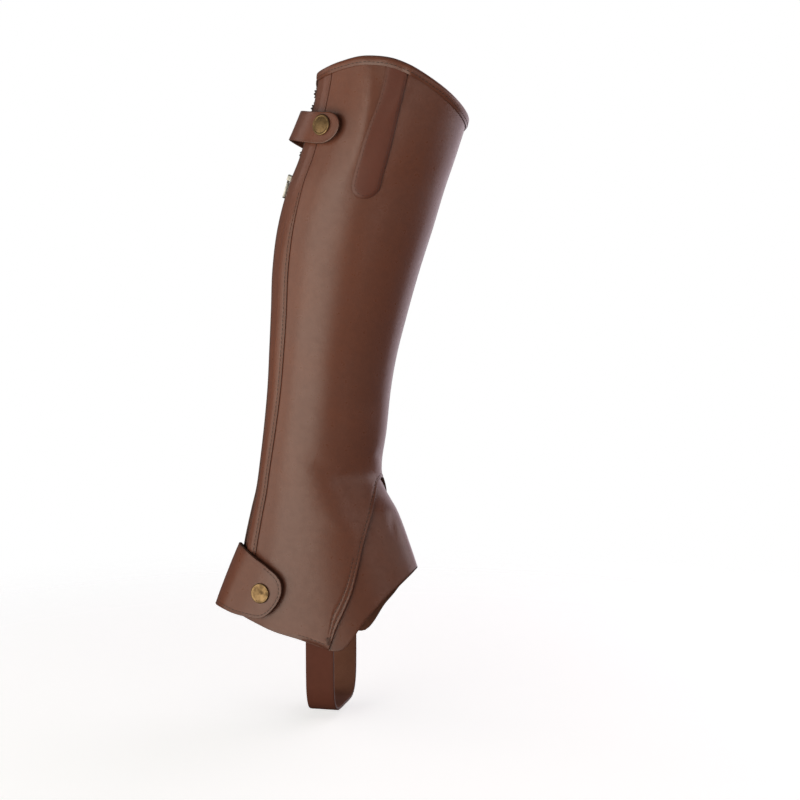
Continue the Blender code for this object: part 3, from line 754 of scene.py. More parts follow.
def drawn_in(x, y, nose_starts, inset):
    """A point of the outline moved towards the middle line."""
    past = max(0, x - nose_starts)
    return Vector((min(x, nose_starts) + past * (1 - inset), y * (1 - inset), 0))


def inset_share(x, y, nose_starts, nose):
    """How far in from the outline a point lies, from 0 at the edge to 1 at the middle line."""
    return 1 - hypot(y, max(0, x - nose_starts) / (nose - nose_starts))


def wrapped(name, flat, place, outside, round_over, inside):
    """A flat cut given its thickness and wrapped: place(x, y, depth) gives a point, depth 1 on the inside."""
    whole = flat.verts[:] + flat.edges[:] + flat.faces[:]
    made = bmesh.ops.extrude_face_region(flat, geom=whole, use_keep_orig=True)
    inner = [item for item in made["geom"] if isinstance(item, bmesh.types.BMVert)]
    bmesh.ops.translate(flat, verts=inner, vec=(0, 0, 1))
    for face in flat.faces:
        depths = {round(vert.co.z) for vert in face.verts}
        face.material_index = 0 if depths == {0} else 2 if depths == {1} else 1
    map_layer = flat.loops.layers.uv.new("flat")
    for face in flat.faces:
        for loop in face.loops:
            loop[map_layer].uv = loop.vert.co.xy * MM
    for vert in flat.verts:
        vert.co = place(*vert.co)
    bmesh.ops.recalc_face_normals(flat, faces=flat.faces)
    borders = ({0, 1}, {1, 2})
    rim = [edge for edge in flat.edges if {face.material_index for face in edge.link_faces} in borders]
    mark_edge(flat, {vert for edge in rim for vert in edge.verts})
    bmesh.ops.bevel(
        flat,
        geom=rim,
        offset=round_over,
        segments=2,
        profile=0.5,
        affect="EDGES",
        material=-1,
        clamp_overlap=False,
    )
    return finished(name, flat, outside, EDGE, inside)


def leather(node, flat, place, slot="chap_leather", outside=LEATHER, round_over=EDGE_ROUND, inside=FLESH):
    """A wrapped leather that stands for its solid."""
    return carried(wrapped(node + "_leather", flat, place, outside, round_over, inside), slot, node)


def mark_edge(mesh, rim_verts):
    """Writes each point's distance from the nearest cut edge, for the burnishing there."""
    tree = kdtree.KDTree(len(rim_verts))
    for index, vert in enumerate(rim_verts):
        tree.insert(vert.co, index)
    tree.balance()
    layer = mesh.verts.layers.float.new("edge")
    for vert in mesh.verts:
        vert[layer] = tree.find(vert.co)[2]


def surface_normal(place, x, y, step_x, step_y):
    round_way = place(x + step_x, y, 0) - place(x - step_x, y, 0)
    up_way = place(x, y + step_y, 0) - place(x, y - step_y, 0)
    return round_way.cross(up_way).normalized()


def evenly(points, pitch):
    """Places at equal spacing along a dense line of points, as (index, share) pairs."""
    lengths = [0]
    for a, b in zip(points, points[1:]):
        lengths.append(lengths[-1] + (b - a).length)
    count = max(1, round(lengths[-1] / pitch))
    found = []
    index = 0
    for k in range(count):
        wanted = (k + 0.5) * lengths[-1] / count
        while lengths[index + 1] < wanted:
            index += 1
        found.append((index, (wanted - lengths[index]) / (lengths[index + 1] - lengths[index])))
    return found


def bead(length, thick, sides=6):
    """One stitch or tooth as a mesh to copy: a long bead along x."""
    mesh = bmesh.new()
    bmesh.ops.create_uvsphere(mesh, u_segments=sides, v_segments=5, radius=0.5)
    bmesh.ops.rotate(mesh, verts=mesh.verts, cent=(0, 0, 0), matrix=Matrix.Rotation(pi / 2, 3, "Y"))
    for vert in mesh.verts:
        vert.co = (vert.co.x * length, vert.co.y * thick, vert.co.z * thick)
    data = bpy.data.meshes.new("bead")
    mesh.to_mesh(data)
    mesh.free()
    return data


def copied(mesh, template, matrix):
    """Adds a template mesh to another at a matrix."""
    piece = template.copy()
    piece.transform(matrix)
    mesh.from_mesh(piece)
    bpy.data.meshes.remove(piece)


def standing_frame(middle, along, normal):
    """A matrix with x along a seam and z away from the leather."""
    across = normal.cross(along).normalized()
    matrix = Matrix((along, across, along.cross(across))).transposed().to_4x4()
    matrix.translation = middle
    return matrix


def stitched(
    name,
    place,
    trails,
    step_x=0.5,
    step_y=0.5,
    pitch=STITCH_PITCH,
    length=STITCH_LENGTH,
    across=False,
    thread=THREAD,
):
    """Rows of stitches in their grooves, or across a bar tack. A trail is a list of flat (x, y) places."""
    mesh = bmesh.new()
    template = bead(length, STITCH_THICK)
    for trail in trails:
        points = [place(x, y, 0) for x, y in trail]
        for index, share in evenly(points, pitch):
            x, y = (a + (b - a) * share for a, b in zip(trail[index], trail[index + 1]))
            normal = surface_normal(place, x, y, step_x, step_y)
            along = (points[index + 1] - points[index]).normalized()
            along = (along - normal * along.dot(normal)).normalized()
            along = along.cross(normal) if across else along
            middle = points[index].lerp(points[index + 1], share) + normal * STITCH_THICK * STITCH_PROUD
            copied(mesh, template, standing_frame(middle, along, normal))
    bpy.data.meshes.remove(template)
    return carried(finished(name, mesh, thread), "chap_leather")


def dense(corners):
    """A trail's straight runs in short steps."""
    trail = [corners[0]]
    for (x, y), (to_x, to_y) in zip(corners, corners[1:]):
        for k in range(1, TRAIL_STEPS + 1):
            trail.append((x + (to_x - x) * k / TRAIL_STEPS, y + (to_y - y) * k / TRAIL_STEPS))
    return trail


def edge_row(stations, nose_starts, inset):
    """A trail that follows an outline, this share in from it."""
    return [tuple(drawn_in(x, y, nose_starts, inset).xy) for x, y in stations]


# The main panel

PANEL_COLUMNS = spread(
    (PANEL_START, 3), (PANEL_START + 6, 10), (PANEL_START + 11, 14), (-HEM_CORNER, 40), (0, 40),
    (HEM_CORNER, 45), (PANEL_END - 6, 6), (PANEL_END, 0),
)
PANEL_HEIGHT = 400
PANEL_EDGE_ROWS = 9
PANEL_TOP_ROWS = 6
DEGREE_AT_ZIP = 0.9
SECOND_ROW_STARTS = -286
STRAP_FROM_ANGLE = 88.5
STRAP_TO_ANGLE = 101.5
HEM_ROW = 3.2
HEM_CURL = 0.9
LEVEL_LAP_FROM = -60
LEVEL_LAP_TO = -10
LAP_PRESSED_IN = 0.48
CORNER_CLEAR = 1.5
SECOND_ROW_FROM_ANGLE = 66
HEM_ROW_FROM_ANGLE = 89.5
SLOPE_SPAN = 4
MOST_STRETCH = 4
TACK_FROM_CORNER = 0.5
TACK_LOW = 1.4
TACK_HIGH = 5.6
TACK_PITCH = STITCH_THICK * 1.3
TACK_WIDTH = 4.2


def panel_angle(nominal, height):
    """The panel's own angle, drawn to the back strip at one end and to the zip at the other."""
    start = from_zip(strip_reach(height) - STRIP_LAP, height)
    end = 360 + from_zip(-half_gap(height), height)
    at_start = 1 - smoothstep(PANEL_START, PANEL_START + PANEL_DRAWN_OVER, nominal)
    at_end = smoothstep(PANEL_END - PANEL_DRAWN_OVER, PANEL_END, nominal)
    return nominal + (start - PANEL_START) * at_start + (end - PANEL_END) * at_end


@lru_cache(maxsize=None)
def panel_column(nominal):
    """Bottom, top and edge stretch of the panel at a nominal angle."""
    low = main_bottom(nominal)
    high = rim_height(nominal)
    for _ in range(3):
        low = main_bottom(panel_angle(nominal, low))
        high = rim_height(panel_angle(nominal, high))
    angle = panel_angle(nominal, low)
    before, after = angle - SLOPE_SPAN, angle + SLOPE_SPAN
    rise = main_bottom(after) - main_bottom(before)
    run = (form_point(after, low) - form_point(before, low)).xy.length
    return low, high, min(MOST_STRETCH, hypot(rise, run) / run)


@lru_cache(maxsize=None)
def panel_place(nominal, height_share):
    """Angle and height of a point of the panel."""
    low, high, stretch = panel_column(nominal)
    margin = PANEL_EDGE_ROWS * stretch
    if height_share < PANEL_EDGE_ROWS:
        height = low + height_share * stretch
    elif height_share > PANEL_HEIGHT - PANEL_TOP_ROWS:
        height = high - (PANEL_HEIGHT - height_share)
    else:
        share = (height_share - PANEL_EDGE_ROWS) / (PANEL_HEIGHT - PANEL_EDGE_ROWS - PANEL_TOP_ROWS)
        height = low + margin + (high - PANEL_TOP_ROWS - low - margin) * share
    return panel_angle(nominal, height), height


def level_lap(height):
    """1 at the calf, where the panel's edge is pressed in and the back strip lies level; 0 below."""
    return smoothstep(LEVEL_LAP_FROM, LEVEL_LAP_TO, height)


def pressed_in(nominal, height):
    """How far the panel's edge is pressed in under the back strip."""
    if nominal > PANEL_START + PANEL_DRAWN_OVER or height < LEVEL_LAP_FROM:
        return 0
    edge = form_point(panel_angle(PANEL_START, height), height)
    from_edge = (form_point(panel_angle(nominal, height), height) - edge).length
    return LAP_PRESSED_IN * level_lap(height) * (1 - smoothstep(STRIP_LAP + 0.1, STRIP_LAP + 0.9, from_edge))


def over_strap(nominal):
    """1 where the hem lies over the stirrup strap, 0 away from it."""
    round_way = turned(nominal)
    starts = smoothstep(STRAP_FROM_ANGLE, STRAP_FROM_ANGLE + 2.5, round_way)
    return starts * (1 - smoothstep(STRAP_TO_ANGLE - 2, STRAP_TO_ANGLE + 1.5, round_way))


def panel_point(nominal, height_share, depth):
    angle, height = panel_place(nominal, height_share)
    front = 1 - smoothstep(HEM_CORNER - 3, HEM_CORNER, turned(nominal))
    low = 1 - smoothstep(SECOND_ROW_STARTS, SECOND_ROW_STARTS + 14, height)
    drawn = (groove(height_share, SEAM_INSET) + groove(height_share, SECOND_ROW) * low) * front
    drawn += groove((PANEL_END - nominal) * DEGREE_AT_ZIP, SEAM_INSET)
    drawn += groove(height_share, HEM_ROW) * over_strap(nominal)
    curl = HEM_CURL * max(0, 1 - height_share / HEM_ROW) ** 2 * over_strap(nominal)
    out = curl - pressed_in(nominal, height)
    return on_leg(angle, height, out - MAIN_THICK * depth - drawn * (1 - depth))


def both_sides(turns, y):
    """A row of the panel's trails on the outer side and on the inner."""
    return [[(side * turn, y) for turn in turns] for side in (-1, 1)]


def main_panel():
    ys = spread((0, 12), (PANEL_EDGE_ROWS, 160), (PANEL_HEIGHT - PANEL_TOP_ROWS, 3), (PANEL_HEIGHT, 0))
    flat = flat_grid(PANEL_COLUMNS, ys)
    panel = leather("main_panel", flat, panel_point)
    seam_turns = spread((-HEM_CORNER + CORNER_CLEAR, 90), (HEM_CORNER - CORNER_CLEAR, 0))
    seam = [(nominal, SEAM_INSET) for nominal in seam_turns]
    zip_inset = SEAM_INSET / DEGREE_AT_ZIP
    zip_row = [(PANEL_END - zip_inset, y) for y in spread((4, 200), (PANEL_HEIGHT - PANEL_TOP_ROWS, 0))]
    second = both_sides(spread((SECOND_ROW_FROM_ANGLE, 16), (HEM_CORNER - 2, 0)), SECOND_ROW)
    hem = both_sides(spread((HEM_ROW_FROM_ANGLE, 8), (STRAP_TO_ANGLE, 0)), HEM_ROW)
    stitched("main_panel_stitches", panel_point, [seam, zip_row, *second, *hem])
    tack_turns = [side * (HEM_CORNER - TACK_FROM_CORNER) for side in (-1, 1)]
    tacks = [dense([(turn, TACK_LOW), (turn, TACK_HIGH)]) for turn in tack_turns]
    stitched("bar_tack_stitches", panel_point, tacks, pitch=TACK_PITCH, length=TACK_WIDTH, across=True)


# The vamp

VAMP_HEIGHT = 120


def vamp_point(angle, height_share, depth):
    bottom = smooth_value(VAMP_HEM, turned(angle), 1)
    top = smooth_value(VAMP_SEAM, max(0, turned(angle) - VAMP_LAP_TURN), 1) + VAMP_LAP_RISE
    height = bottom + (top - bottom) * height_share / VAMP_HEIGHT
    return on_leg(angle, height, VAMP_OUT - MAIN_THICK * depth)


def vamp():
    flat = flat_grid(spread((-VAMP_REACH, 84), (VAMP_REACH, 0)), spread((0, 60), (VAMP_HEIGHT, 0)))
    piece = leather("vamp", flat, vamp_point)


# The back strip

STRIP_WIDTH = 28
STRIP_ZIP_MARGIN = 4
SKIVED_THICK = 0.35
SKIVED_OUT = 0.75
SKIVED_OVER = 4.5
STRIP_FRONT_MARGIN = 13
STRIP_COLUMNS = spread(
    (0, 5), (STRIP_ZIP_MARGIN, 4), (STRIP_WIDTH - STRIP_FRONT_MARGIN, 6), (20, 4), (23, 7), (STRIP_WIDTH, 0)
)
STRIP_ROWS_START = 0.006
ZIP_ROW_ENDS = 0.975
FRONT_ROW_ENDS = 0.79


@lru_cache(maxsize=None)
def strip_place(x, y):
    """Angle and height of a point of the back strip, and its distance from the front edge."""
    nominal = from_zip(STRIP_MIDDLE, 0)
    bottom = hem_height(nominal)
    height = bottom + (rim_height(nominal) - STRIP_CLEAR_OF_RIM - bottom) * y
    near, far = half_gap(height), strip_reach(height)
    front_starts = STRIP_WIDTH - STRIP_FRONT_MARGIN
    if x < STRIP_ZIP_MARGIN:
        distance = near + x
    elif x > front_starts:
        distance = far - (STRIP_WIDTH - x)
    else:
        share = (x - STRIP_ZIP_MARGIN) / (front_starts - STRIP_ZIP_MARGIN)
        distance = near + STRIP_ZIP_MARGIN + (far - STRIP_FRONT_MARGIN - near - STRIP_ZIP_MARGIN) * share
    return from_zip(distance, height), height, far - distance


def skived(from_front, height):
    """How far out the strip lies, and its thickness, which is pared thin along its front edge."""
    level = level_lap(height)
    full = smoothstep(0, SKIVED_OVER, from_front)
    past_lap = smoothstep(STRIP_LAP + STRIP_STEP_STARTS, STRIP_LAP + STRIP_STEP_ENDS, from_front)
    proud = SKIVED_OUT + (GAP + STRIP_THICK - SKIVED_OUT) * full - (GAP + MAIN_THICK) * past_lap
    flush = -GAP * past_lap
    thin = full * (1 - level) + past_lap * level
    return proud + (flush - proud) * level, SKIVED_THICK + (STRIP_THICK - SKIVED_THICK) * thin


def strip_point(x, y, depth):
    angle, height, from_front = strip_place(x, y)
    outside, thick = skived(from_front, height)
    drawn = groove(x, SEAM_INSET) + groove(from_front, SEAM_INSET) * (0.6 - 0.5 * level_lap(height))
    return on_leg(angle, height, outside - thick * depth - drawn * (1 - depth))


def back_strip():
    flat = flat_grid(STRIP_COLUMNS, spread((0, 170), (1, 0)))
    piece = leather("back_strip", flat, strip_point)
    piece.data.materials[1] = LEATHER
    zip_row = [(SEAM_INSET, y) for y in spread((STRIP_ROWS_START, 220), (ZIP_ROW_ENDS, 0))]
    front_row = [(STRIP_WIDTH - SEAM_INSET, y) for y in spread((STRIP_ROWS_START, 180), (FRONT_ROW_ENDS, 0))]
    stitched("back_strip_stitches", strip_point, (zip_row, front_row), 0.4, 0.002)


# The side strip

SIDE_INSETS = (0, 0.08, 0.145, 0.21, 0.275, 0.34, 0.44, 0.6, 0.8, 1)
SIDE_TOP = rim_height(SIDE_TOP_ANGLE) - STRIP_CLEAR_OF_RIM
SIDE_END = SIDE_TOP - SIDE_BOTTOM
SIDE_END_STARTS = SIDE_END - SIDE_END_LENGTH
SIDE_TOP_FITTED_OVER = 30
SIDE_ROW_STARTS = 6
SIDE_GROOVE_SHARE = 0.35
SIDE_PARED = 0.7
SIDE_PARED_OVER = 2.6


def side_point(reach, across_share, depth):
    """reach runs down from 0 at the binding to the round end."""
    height = SIDE_TOP - reach
    half_width = smooth_value(SIDE_LEVELS, height, 2)
    middle = smooth_value(SIDE_LEVELS, height, 1)
    across = -across_share * half_width
    angle = walk(middle, height, across)
    at_top = 1 - smoothstep(0, SIDE_TOP_FITTED_OVER, reach)
    height += (rim_height(angle) - STRIP_CLEAR_OF_RIM - SIDE_TOP) * at_top
    inset = inset_share(reach, across_share, SIDE_END_STARTS, SIDE_END) * half_width
    pared = SIDE_PARED * (1 - smoothstep(0, SIDE_PARED_OVER, inset))
    drawn = groove(inset, SEAM_INSET) * SIDE_GROOVE_SHARE + pared
    return on_leg(angle, height, GAP + (STRIP_THICK - drawn) * (1 - depth))


def side_strip():
    stations = outline_stations(0, SIDE_END_STARTS, SIDE_END, 42, 20)
    flat = flat_round_ended(stations, SIDE_END_STARTS, SIDE_INSETS)
    piece = leather("side_strip", flat, side_point, "strip_leather", RED_LEATHER, STRIP_ROUND)
    sewn = [(x, y) for x, y in stations if x > SIDE_ROW_STARTS]
    trail = edge_row(sewn, SIDE_END_STARTS, SEAM_INSET / SIDE_END_LENGTH)
    stitched("side_strip_stitches", side_point, [trail], 0.5, 0.03, thread=RED_THREAD)


# The top binding

Fold = namedtuple("Fold", "turn drop")
BINDING_TURNS = 8
BINDING_DROPS = (BINDING_WIDTH, 3.8, 3.15, 2.5, 1.85, 1.2, 0.6)
BINDING_FOLDS = (
    [Fold(0, drop) for drop in BINDING_DROPS]
    + [Fold(pi * k / BINDING_TURNS, 0) for k in range(BINDING_TURNS + 1)]
    + [Fold(pi, drop) for drop in reversed(BINDING_DROPS)]
)
BINDING_ROW = 3
BINDING_GROOVE_SHARE = 0.5
BINDING_PARED = 0.7
BINDING_PARED_OVER = 2.2
BINDING_COLUMNS = 200
BINDING_STARTS = from_zip(ZIP_PARTED_HALF_GAP, rim_height(ZIP_ANGLE))
BINDING_ENDS = 360 + from_zip(-ZIP_PARTED_HALF_GAP, rim_height(ZIP_ANGLE))


def overlay_lift(angle, height):
    """How far the binding rises where it passes over the side strip."""
    if angle > 0:
        return 0
    past_side = SIDE_TOP_HALF_WIDTH + BINDING_RISE_CLEAR
    from_side = (form_point(angle, height) - form_point(SIDE_TOP_ANGLE, height)).length
    return (GAP + STRIP_THICK) * (1 - smoothstep(past_side, past_side + BINDING_RISE_RAMP, from_side))


def binding_point(station, fold, depth):
    angle = BINDING_STARTS + (BINDING_ENDS - BINDING_STARTS) * station / BINDING_COLUMNS
    turn, drop = between(BINDING_FOLDS, fold)
    rim = rim_height(angle)
    inner_leg = -MAIN_THICK - GAP - BINDING_CLEAR_INSIDE
    outer_leg = GAP + overlay_lift(angle, rim)
    middle = (outer_leg + inner_leg) / 2
    drawn = groove(drop, BINDING_FOLDS[BINDING_ROW].drop) * BINDING_GROOVE_SHARE if drop > 0 else 0
    pared = BINDING_PARED * smoothstep(BINDING_WIDTH - BINDING_PARED_OVER, BINDING_WIDTH, drop)
    thick = (BINDING_THICK - drawn - pared) * (1 - depth)
    radius = (outer_leg - inner_leg) / 2 + thick
    arch = (GAP - inner_leg) / 2 + thick
    height = rim - drop + arch * sin(turn)
    return on_leg(angle, height, 0) + form_normal(angle, rim - drop) * (middle + radius * cos(turn))


def top_binding():
    flat = flat_grid(range(BINDING_COLUMNS + 1), range(len(BINDING_FOLDS)))
    piece = leather("top_binding", flat, binding_point, round_over=BINDING_ROUND, inside=LEATHER)
    folds = (BINDING_ROW, len(BINDING_FOLDS) - 1 - BINDING_ROW)
    rows = [[(x, fold) for x in spread((1, 198), (199, 0))] for fold in folds]
    stitched("top_binding_stitches", binding_point, rows)


# The top tab and the heel flap

TAB_INSETS = (0, 0.08, 0.16, 0.26, 0.4, 0.6, 0.8, 1)
TAB_NOSE_STARTS = TAB_TIP - TAB_HALF_WIDTH
TAB_TACK_FROM = TAB_ROOT + 3
TAB_TACK_TO = TAB_ROOT + 17
TAB_TACK_SHARE = 0.72
FLAP_INSETS = (0, 0.042, 0.08, 0.116, 0.152, 0.188, 0.225, 0.28, 0.36, 0.46, 0.57, 0.68, 0.79, 0.9, 1)
FLAP_ROOT_ROWS = (FLAP_ROOT + 3, FLAP_ROOT + 6)
FLAP_ROOT_SHARE = 0.85
FLAP_SEWN_BELOW = 0.9
FLAP_TOP_SEWN_FROM = 25
FLAP_TOP_UNSEWN = 0.6


@lru_cache(maxsize=None)
def tab_place(distance, share):
    middle, low_out, high_out = (smooth_value(TAB_CROSSES, distance, value) for value in (1, 2, 3))
    height = middle + TAB_HALF_WIDTH * share
    return from_zip(distance, height), height, low_out + (high_out - low_out) * (share + 1) / 2


def tab_point(distance, share, depth):
    """A point of the top tab: share runs from its lower edge, -1, to its upper edge, 1."""
    angle, height, out = tab_place(distance, share)
    return on_form(angle, height, out + TAB_THICK * (1 - depth))


@lru_cache(maxsize=None)
def flap_place(distance, share):
    bottom, top, low_out, high_out = (smooth_value(FLAP_CROSSES, distance, value) for value in (1, 2, 3, 4))
    height = bottom + (top - bottom) * (share + 1) / 2
    inset = inset_share(distance, share, FLAP_NOSE_STARTS, FLAP_NOSE) * FLAP_HALF_HEIGHT
    return from_zip(distance, height), height, low_out + (high_out - low_out) * (share + 1) / 2, inset


def flap_point(distance, share, depth):
    """A point of the heel flap, in the same way."""
    angle, height, out, inset = flap_place(distance, share)
    drawn = groove(inset, SEAM_INSET)
    if distance < FLAP_TOP_SEWN_FROM:
        drawn *= smoothstep(-1, -FLAP_TOP_UNSEWN, -share)
    return on_form(angle, height, out + TAB_THICK * (1 - depth) - drawn * (1 - depth))


def top_tab():
    stations = outline_stations(TAB_ROOT, TAB_NOSE_STARTS, TAB_TIP, 50, 18)
    flat = flat_round_ended(stations, TAB_NOSE_STARTS, TAB_INSETS)
    piece = leather("top_tab", flat, tab_point, round_over=TAB_ROUND)
    lower = [(TAB_TACK_FROM, -TAB_TACK_SHARE), (TAB_TACK_TO, -TAB_TACK_SHARE)]
    root = lower + [(x, -y) for x, y in reversed(lower)]
    stitched("top_tab_stitches", tab_point, [dense([*root, root[0]])], 0.5, 0.05)


def heel_flap():
    stations = outline_stations(FLAP_ROOT, FLAP_NOSE_STARTS, FLAP_NOSE, 42, 24)
    flat = flat_round_ended(stations, FLAP_NOSE_STARTS, FLAP_INSETS)
    piece = leather("heel_flap", flat, flap_point, round_over=TAB_ROUND)
    sewn = [(x, y) for x, y in stations if y < FLAP_SEWN_BELOW or x > FLAP_NOSE_STARTS]
    lower = edge_row(sewn, FLAP_NOSE_STARTS, SEAM_INSET / FLAP_HALF_HEIGHT)
    roots = [[(x, -FLAP_ROOT_SHARE), (x, FLAP_ROOT_SHARE)] for x in FLAP_ROOT_ROWS]
    stitched("heel_flap_stitches", flap_point, [lower, *map(dense, roots)], 0.5, 0.03)


# The snaps


def turned_piece(name, profile, sides, stand, material):
    """A round piece that stands on a matrix. profile has (radius, rise) pairs from bottom to top."""
    mesh = bmesh.new()
    points = [mesh.verts.new((radius, 0, rise)) for radius, rise in profile]
    edges = [mesh.edges.new(pair) for pair in zip(points, points[1:])]
    bmesh.ops.spin(
        mesh,
        geom=points + edges,
        cent=(0, 0, 0),
        axis=(0, 0, 1),
        angle=2 * pi,
        steps=sides,
        use_merge=True,
    )
    bmesh.ops.remove_doubles(mesh, verts=mesh.verts, dist=0.001)
    bmesh.ops.transform(mesh, matrix=stand, verts=mesh.verts)
    return finished(name, mesh, material)


def standing(point, normal):
    stand = normal.to_track_quat("Z", "Y").to_matrix().to_4x4()
    stand.translation = point
    return stand


def snap(name, point_of, distance, share):
    """A snap's cap on a tab and the stud between the tab and the panel."""
    middle = point_of(distance, share, 0)
    normal = surface_normal(point_of, distance, share, 1, 0.1)
    cap = [(SNAP_CAP_RADIUS * point.radius_share, point.rise) for point in CAP_PROFILE]
    piece = turned_piece(name + "_cap_brass", cap, CAP_SIDES, standing(middle + normal * GAP, normal), BRASS)
    carried(piece, "snap_brass", name + "_cap")
    under = point_of(distance, share, 1)
    angle = from_zip(distance, under.z)
    foot = on_form(angle, under.z, GAP + STUD_FOOT_CLEAR)
    tall = (under - foot).length - GAP - STUD_TOP_CLEAR
    stud = [
        (0, 0),
        (STUD_BASE_RADIUS - STUD_BASE_ROUND, 0),
        (STUD_BASE_RADIUS, STUD_BASE_SIDE),
        (STUD_BASE_RADIUS, tall * STUD_BASE_SHARE),
        (STUD_NECK_RADIUS, tall * STUD_NECK_FROM),
        (STUD_NECK_RADIUS, tall - STUD_NECK_ROUND),
        (STUD_NECK_RADIUS - STUD_NECK_ROUND, tall),
        (0, tall),
    ]
    stand = standing(foot, form_normal(angle, under.z))
    piece = turned_piece(name + "_stud_brass", stud, STUD_SIDES, stand, BRASS)
    carried(piece, "snap_brass", name + "_stud")


# The stirrup strap


def strap_middle(station):
    """The strap's middle line: station runs from 0 at the outer hem to 14 at the inner."""
    sole = STRAP_PATH[-1].station
    from_hem = sole - abs(station - sole)
    side = -1 if station < sole else 1
    across, height = (smooth_value(STRAP_PATH, from_hem, column) for column in (1, 2))
    return Vector((STRAP_MIDDLE_X, side * across, height))


def strap_point(across, station, depth):
    way = (strap_middle(station + 0.05) - strap_middle(station - 0.05)).normalized()
    inward = Vector((0, -way.z, way.y))
    return strap_middle(station) + Vector((across, 0, 0)) + inward * STRAP_THICK * (depth - 0.5)


def stirrup_strap():
    half = STRAP_WIDTH / 2
    near = [half] + [half - inset for inset in STRAP_EDGE_LINES]
    xs = [-x for x in near] + [0] + near[::-1]
    flat = flat_grid(xs, spread((0, 90), (2 * STRAP_PATH[-1].station, 0)))
    piece = leather("stirrup_strap", flat, strap_point, "strip_leather", STRAP_LEATHER, STRIP_ROUND)


# The zip

TAPE_UNDER_TEETH = 2.8
TAPE_BOTTOM = hem_height(ZIP_ANGLE) + 1
TAPE_TOP = rim_height(ZIP_ANGLE) - BINDING_WIDTH - TAPE_BELOW_BINDING
TAPE_CURL_REACH = 3.2
WAVE_GROWS_OVER = 18
MESHED_TOOTH_REACH = 1.45
TOOTH_SLANT = 0.12
PULL_RIM = 0.55
PULL_RIM_SLOPE = 0.15
PULL_FACE_SUNK = 0.18


def wave(height):
    """The parted tape's edge ripples and curls outwards above the slider."""
    grown = smoothstep(SLIDER_TOP, SLIDER_TOP + WAVE_GROWS_OVER, height)
    return grown * (TAPE_CURL + WAVE_HEIGHT * sin(2 * pi * (height - SLIDER_TOP) / WAVE_LENGTH))


def tape_point(side):
    def place(x, height, depth):
        free_edge = half_gap(height) - ZIP_HALF_GAP + CHAIN_HALF_WIDTH + GAP - TAPE_UNDER_TEETH
        flat_share = smoothstep(TAPE_UNDER_TEETH, TAPE_UNDER_TEETH + TAPE_CURL_REACH, x)
        ripple = wave(height) * (1 - flat_share)
        out = -TAPE_DEPTH - TAPE_THICK * depth + ripple
        return on_leg(from_zip(side * (free_edge + x), height), height, out)

    return place


def zip_tape(name, side):
    xs = spread((0, 5), (TAPE_UNDER_TEETH + TAPE_CURL_REACH, 3), (TAPE_UNDER_TEETH + TAPE_WIDTH, 0))
    flat = flat_grid(xs, spread((TAPE_BOTTOM, 150), (SLIDER_TOP, 60), (TAPE_TOP, 0)))
    piece = wrapped(name + "_cloth", flat, tape_point(side), TAPE, TAPE_ROUND, TAPE)
    piece.data.materials[1] = TAPE
    carried(piece, "zip_tape", name)


def tooth_row(name, side, low, high, node):
    """Teeth from one level to another: both rows meshed for side 0, or one row on the tape of that side."""
    mesh = bmesh.new()
    length = HALF_CHAIN_WIDTH * MESHED_TOOTH_REACH if side == 0 else HALF_CHAIN_WIDTH
    template = bead(length, TOOTH_THICK, 8)
    depth = TAPE_DEPTH + TAPE_THICK / 2
    count = round((high - low) / TOOTH_PITCH)
    for k in range(count):
        for way in (-1, 1) if side == 0 else (side,):
            height = low + (high - low) * (k + (0.25 if way < 0 else 0.75)) / count
            if side == 0:
                distance = way * (CHAIN_HALF_WIDTH - length / 2)
                lift = 0
            else:
                distance = way * (half_gap(height) - ZIP_HALF_GAP + CHAIN_HALF_WIDTH - length / 2)
                lift = wave(height)
            for layer in (-1, 1):
                out = -depth + layer * (CHAIN_THICK - TOOTH_THICK) / 2 + lift
                angle = from_zip(distance, height)
                normal = form_normal(angle, height)
                along = form_point(angle + 1, height) - form_point(angle - 1, height)
                along = (along.normalized() + Vector((0, 0, TOOTH_SLANT * layer * way))).normalized()
                copied(mesh, template, standing_frame(on_form(angle, height, out), along, normal))
    bpy.data.meshes.remove(template)
    carried(finished(name, mesh, TEETH), "zip_teeth", node)


def slider_frame():
    """The matrix that carries the slider's own frame to the zip, at its lower end."""
    foot = form_point(ZIP_ANGLE, SLIDER_BOTTOM)
    head = form_point(ZIP_ANGLE, SLIDER_TOP)
    along = (head - foot).normalized()
    out = form_normal(ZIP_ANGLE, (SLIDER_BOTTOM + SLIDER_TOP) / 2)
    across = along.cross(out).normalized()
    out = across.cross(along)
    matrix = Matrix((across, along, out)).transposed().to_4x4()
    matrix.translation = foot
    return matrix


def united(name, meshes, material, round_over):
    """Closed meshes in the slider's frame made one body, with its edges rounded over."""
    things = [finished(name if k == 0 else "piece", mesh, material) for k, mesh in enumerate(meshes)]
    for other in things[1:]:
        union = things[0].modifiers.new("union", "BOOLEAN")
        union.operation = "UNION"
        union.object = other
    soft = things[0].modifiers.new("soft edges", "BEVEL")
    soft.width = round_over * MM
    soft.segments = 2
    soft.limit_method = "ANGLE"
    soft.angle_limit = METAL_ROUNDED_PAST
    seen = things[0].evaluated_get(bpy.context.evaluated_depsgraph_get())
    data = bpy.data.meshes.new_from_object(seen)
    data.transform(Matrix.Scale(1 / MM, 4))
    data.transform(slider_frame())
    data.transform(Matrix.Scale(MM, 4))
    for thing in things:
        bpy.data.objects.remove(thing)
    data.shade_smooth()
    data.set_sharp_from_angle(angle=METAL_SHARP_PAST)
    thing = bpy.data.objects.new(name, data)
    bpy.context.scene.collection.objects.link(thing)
    return thing


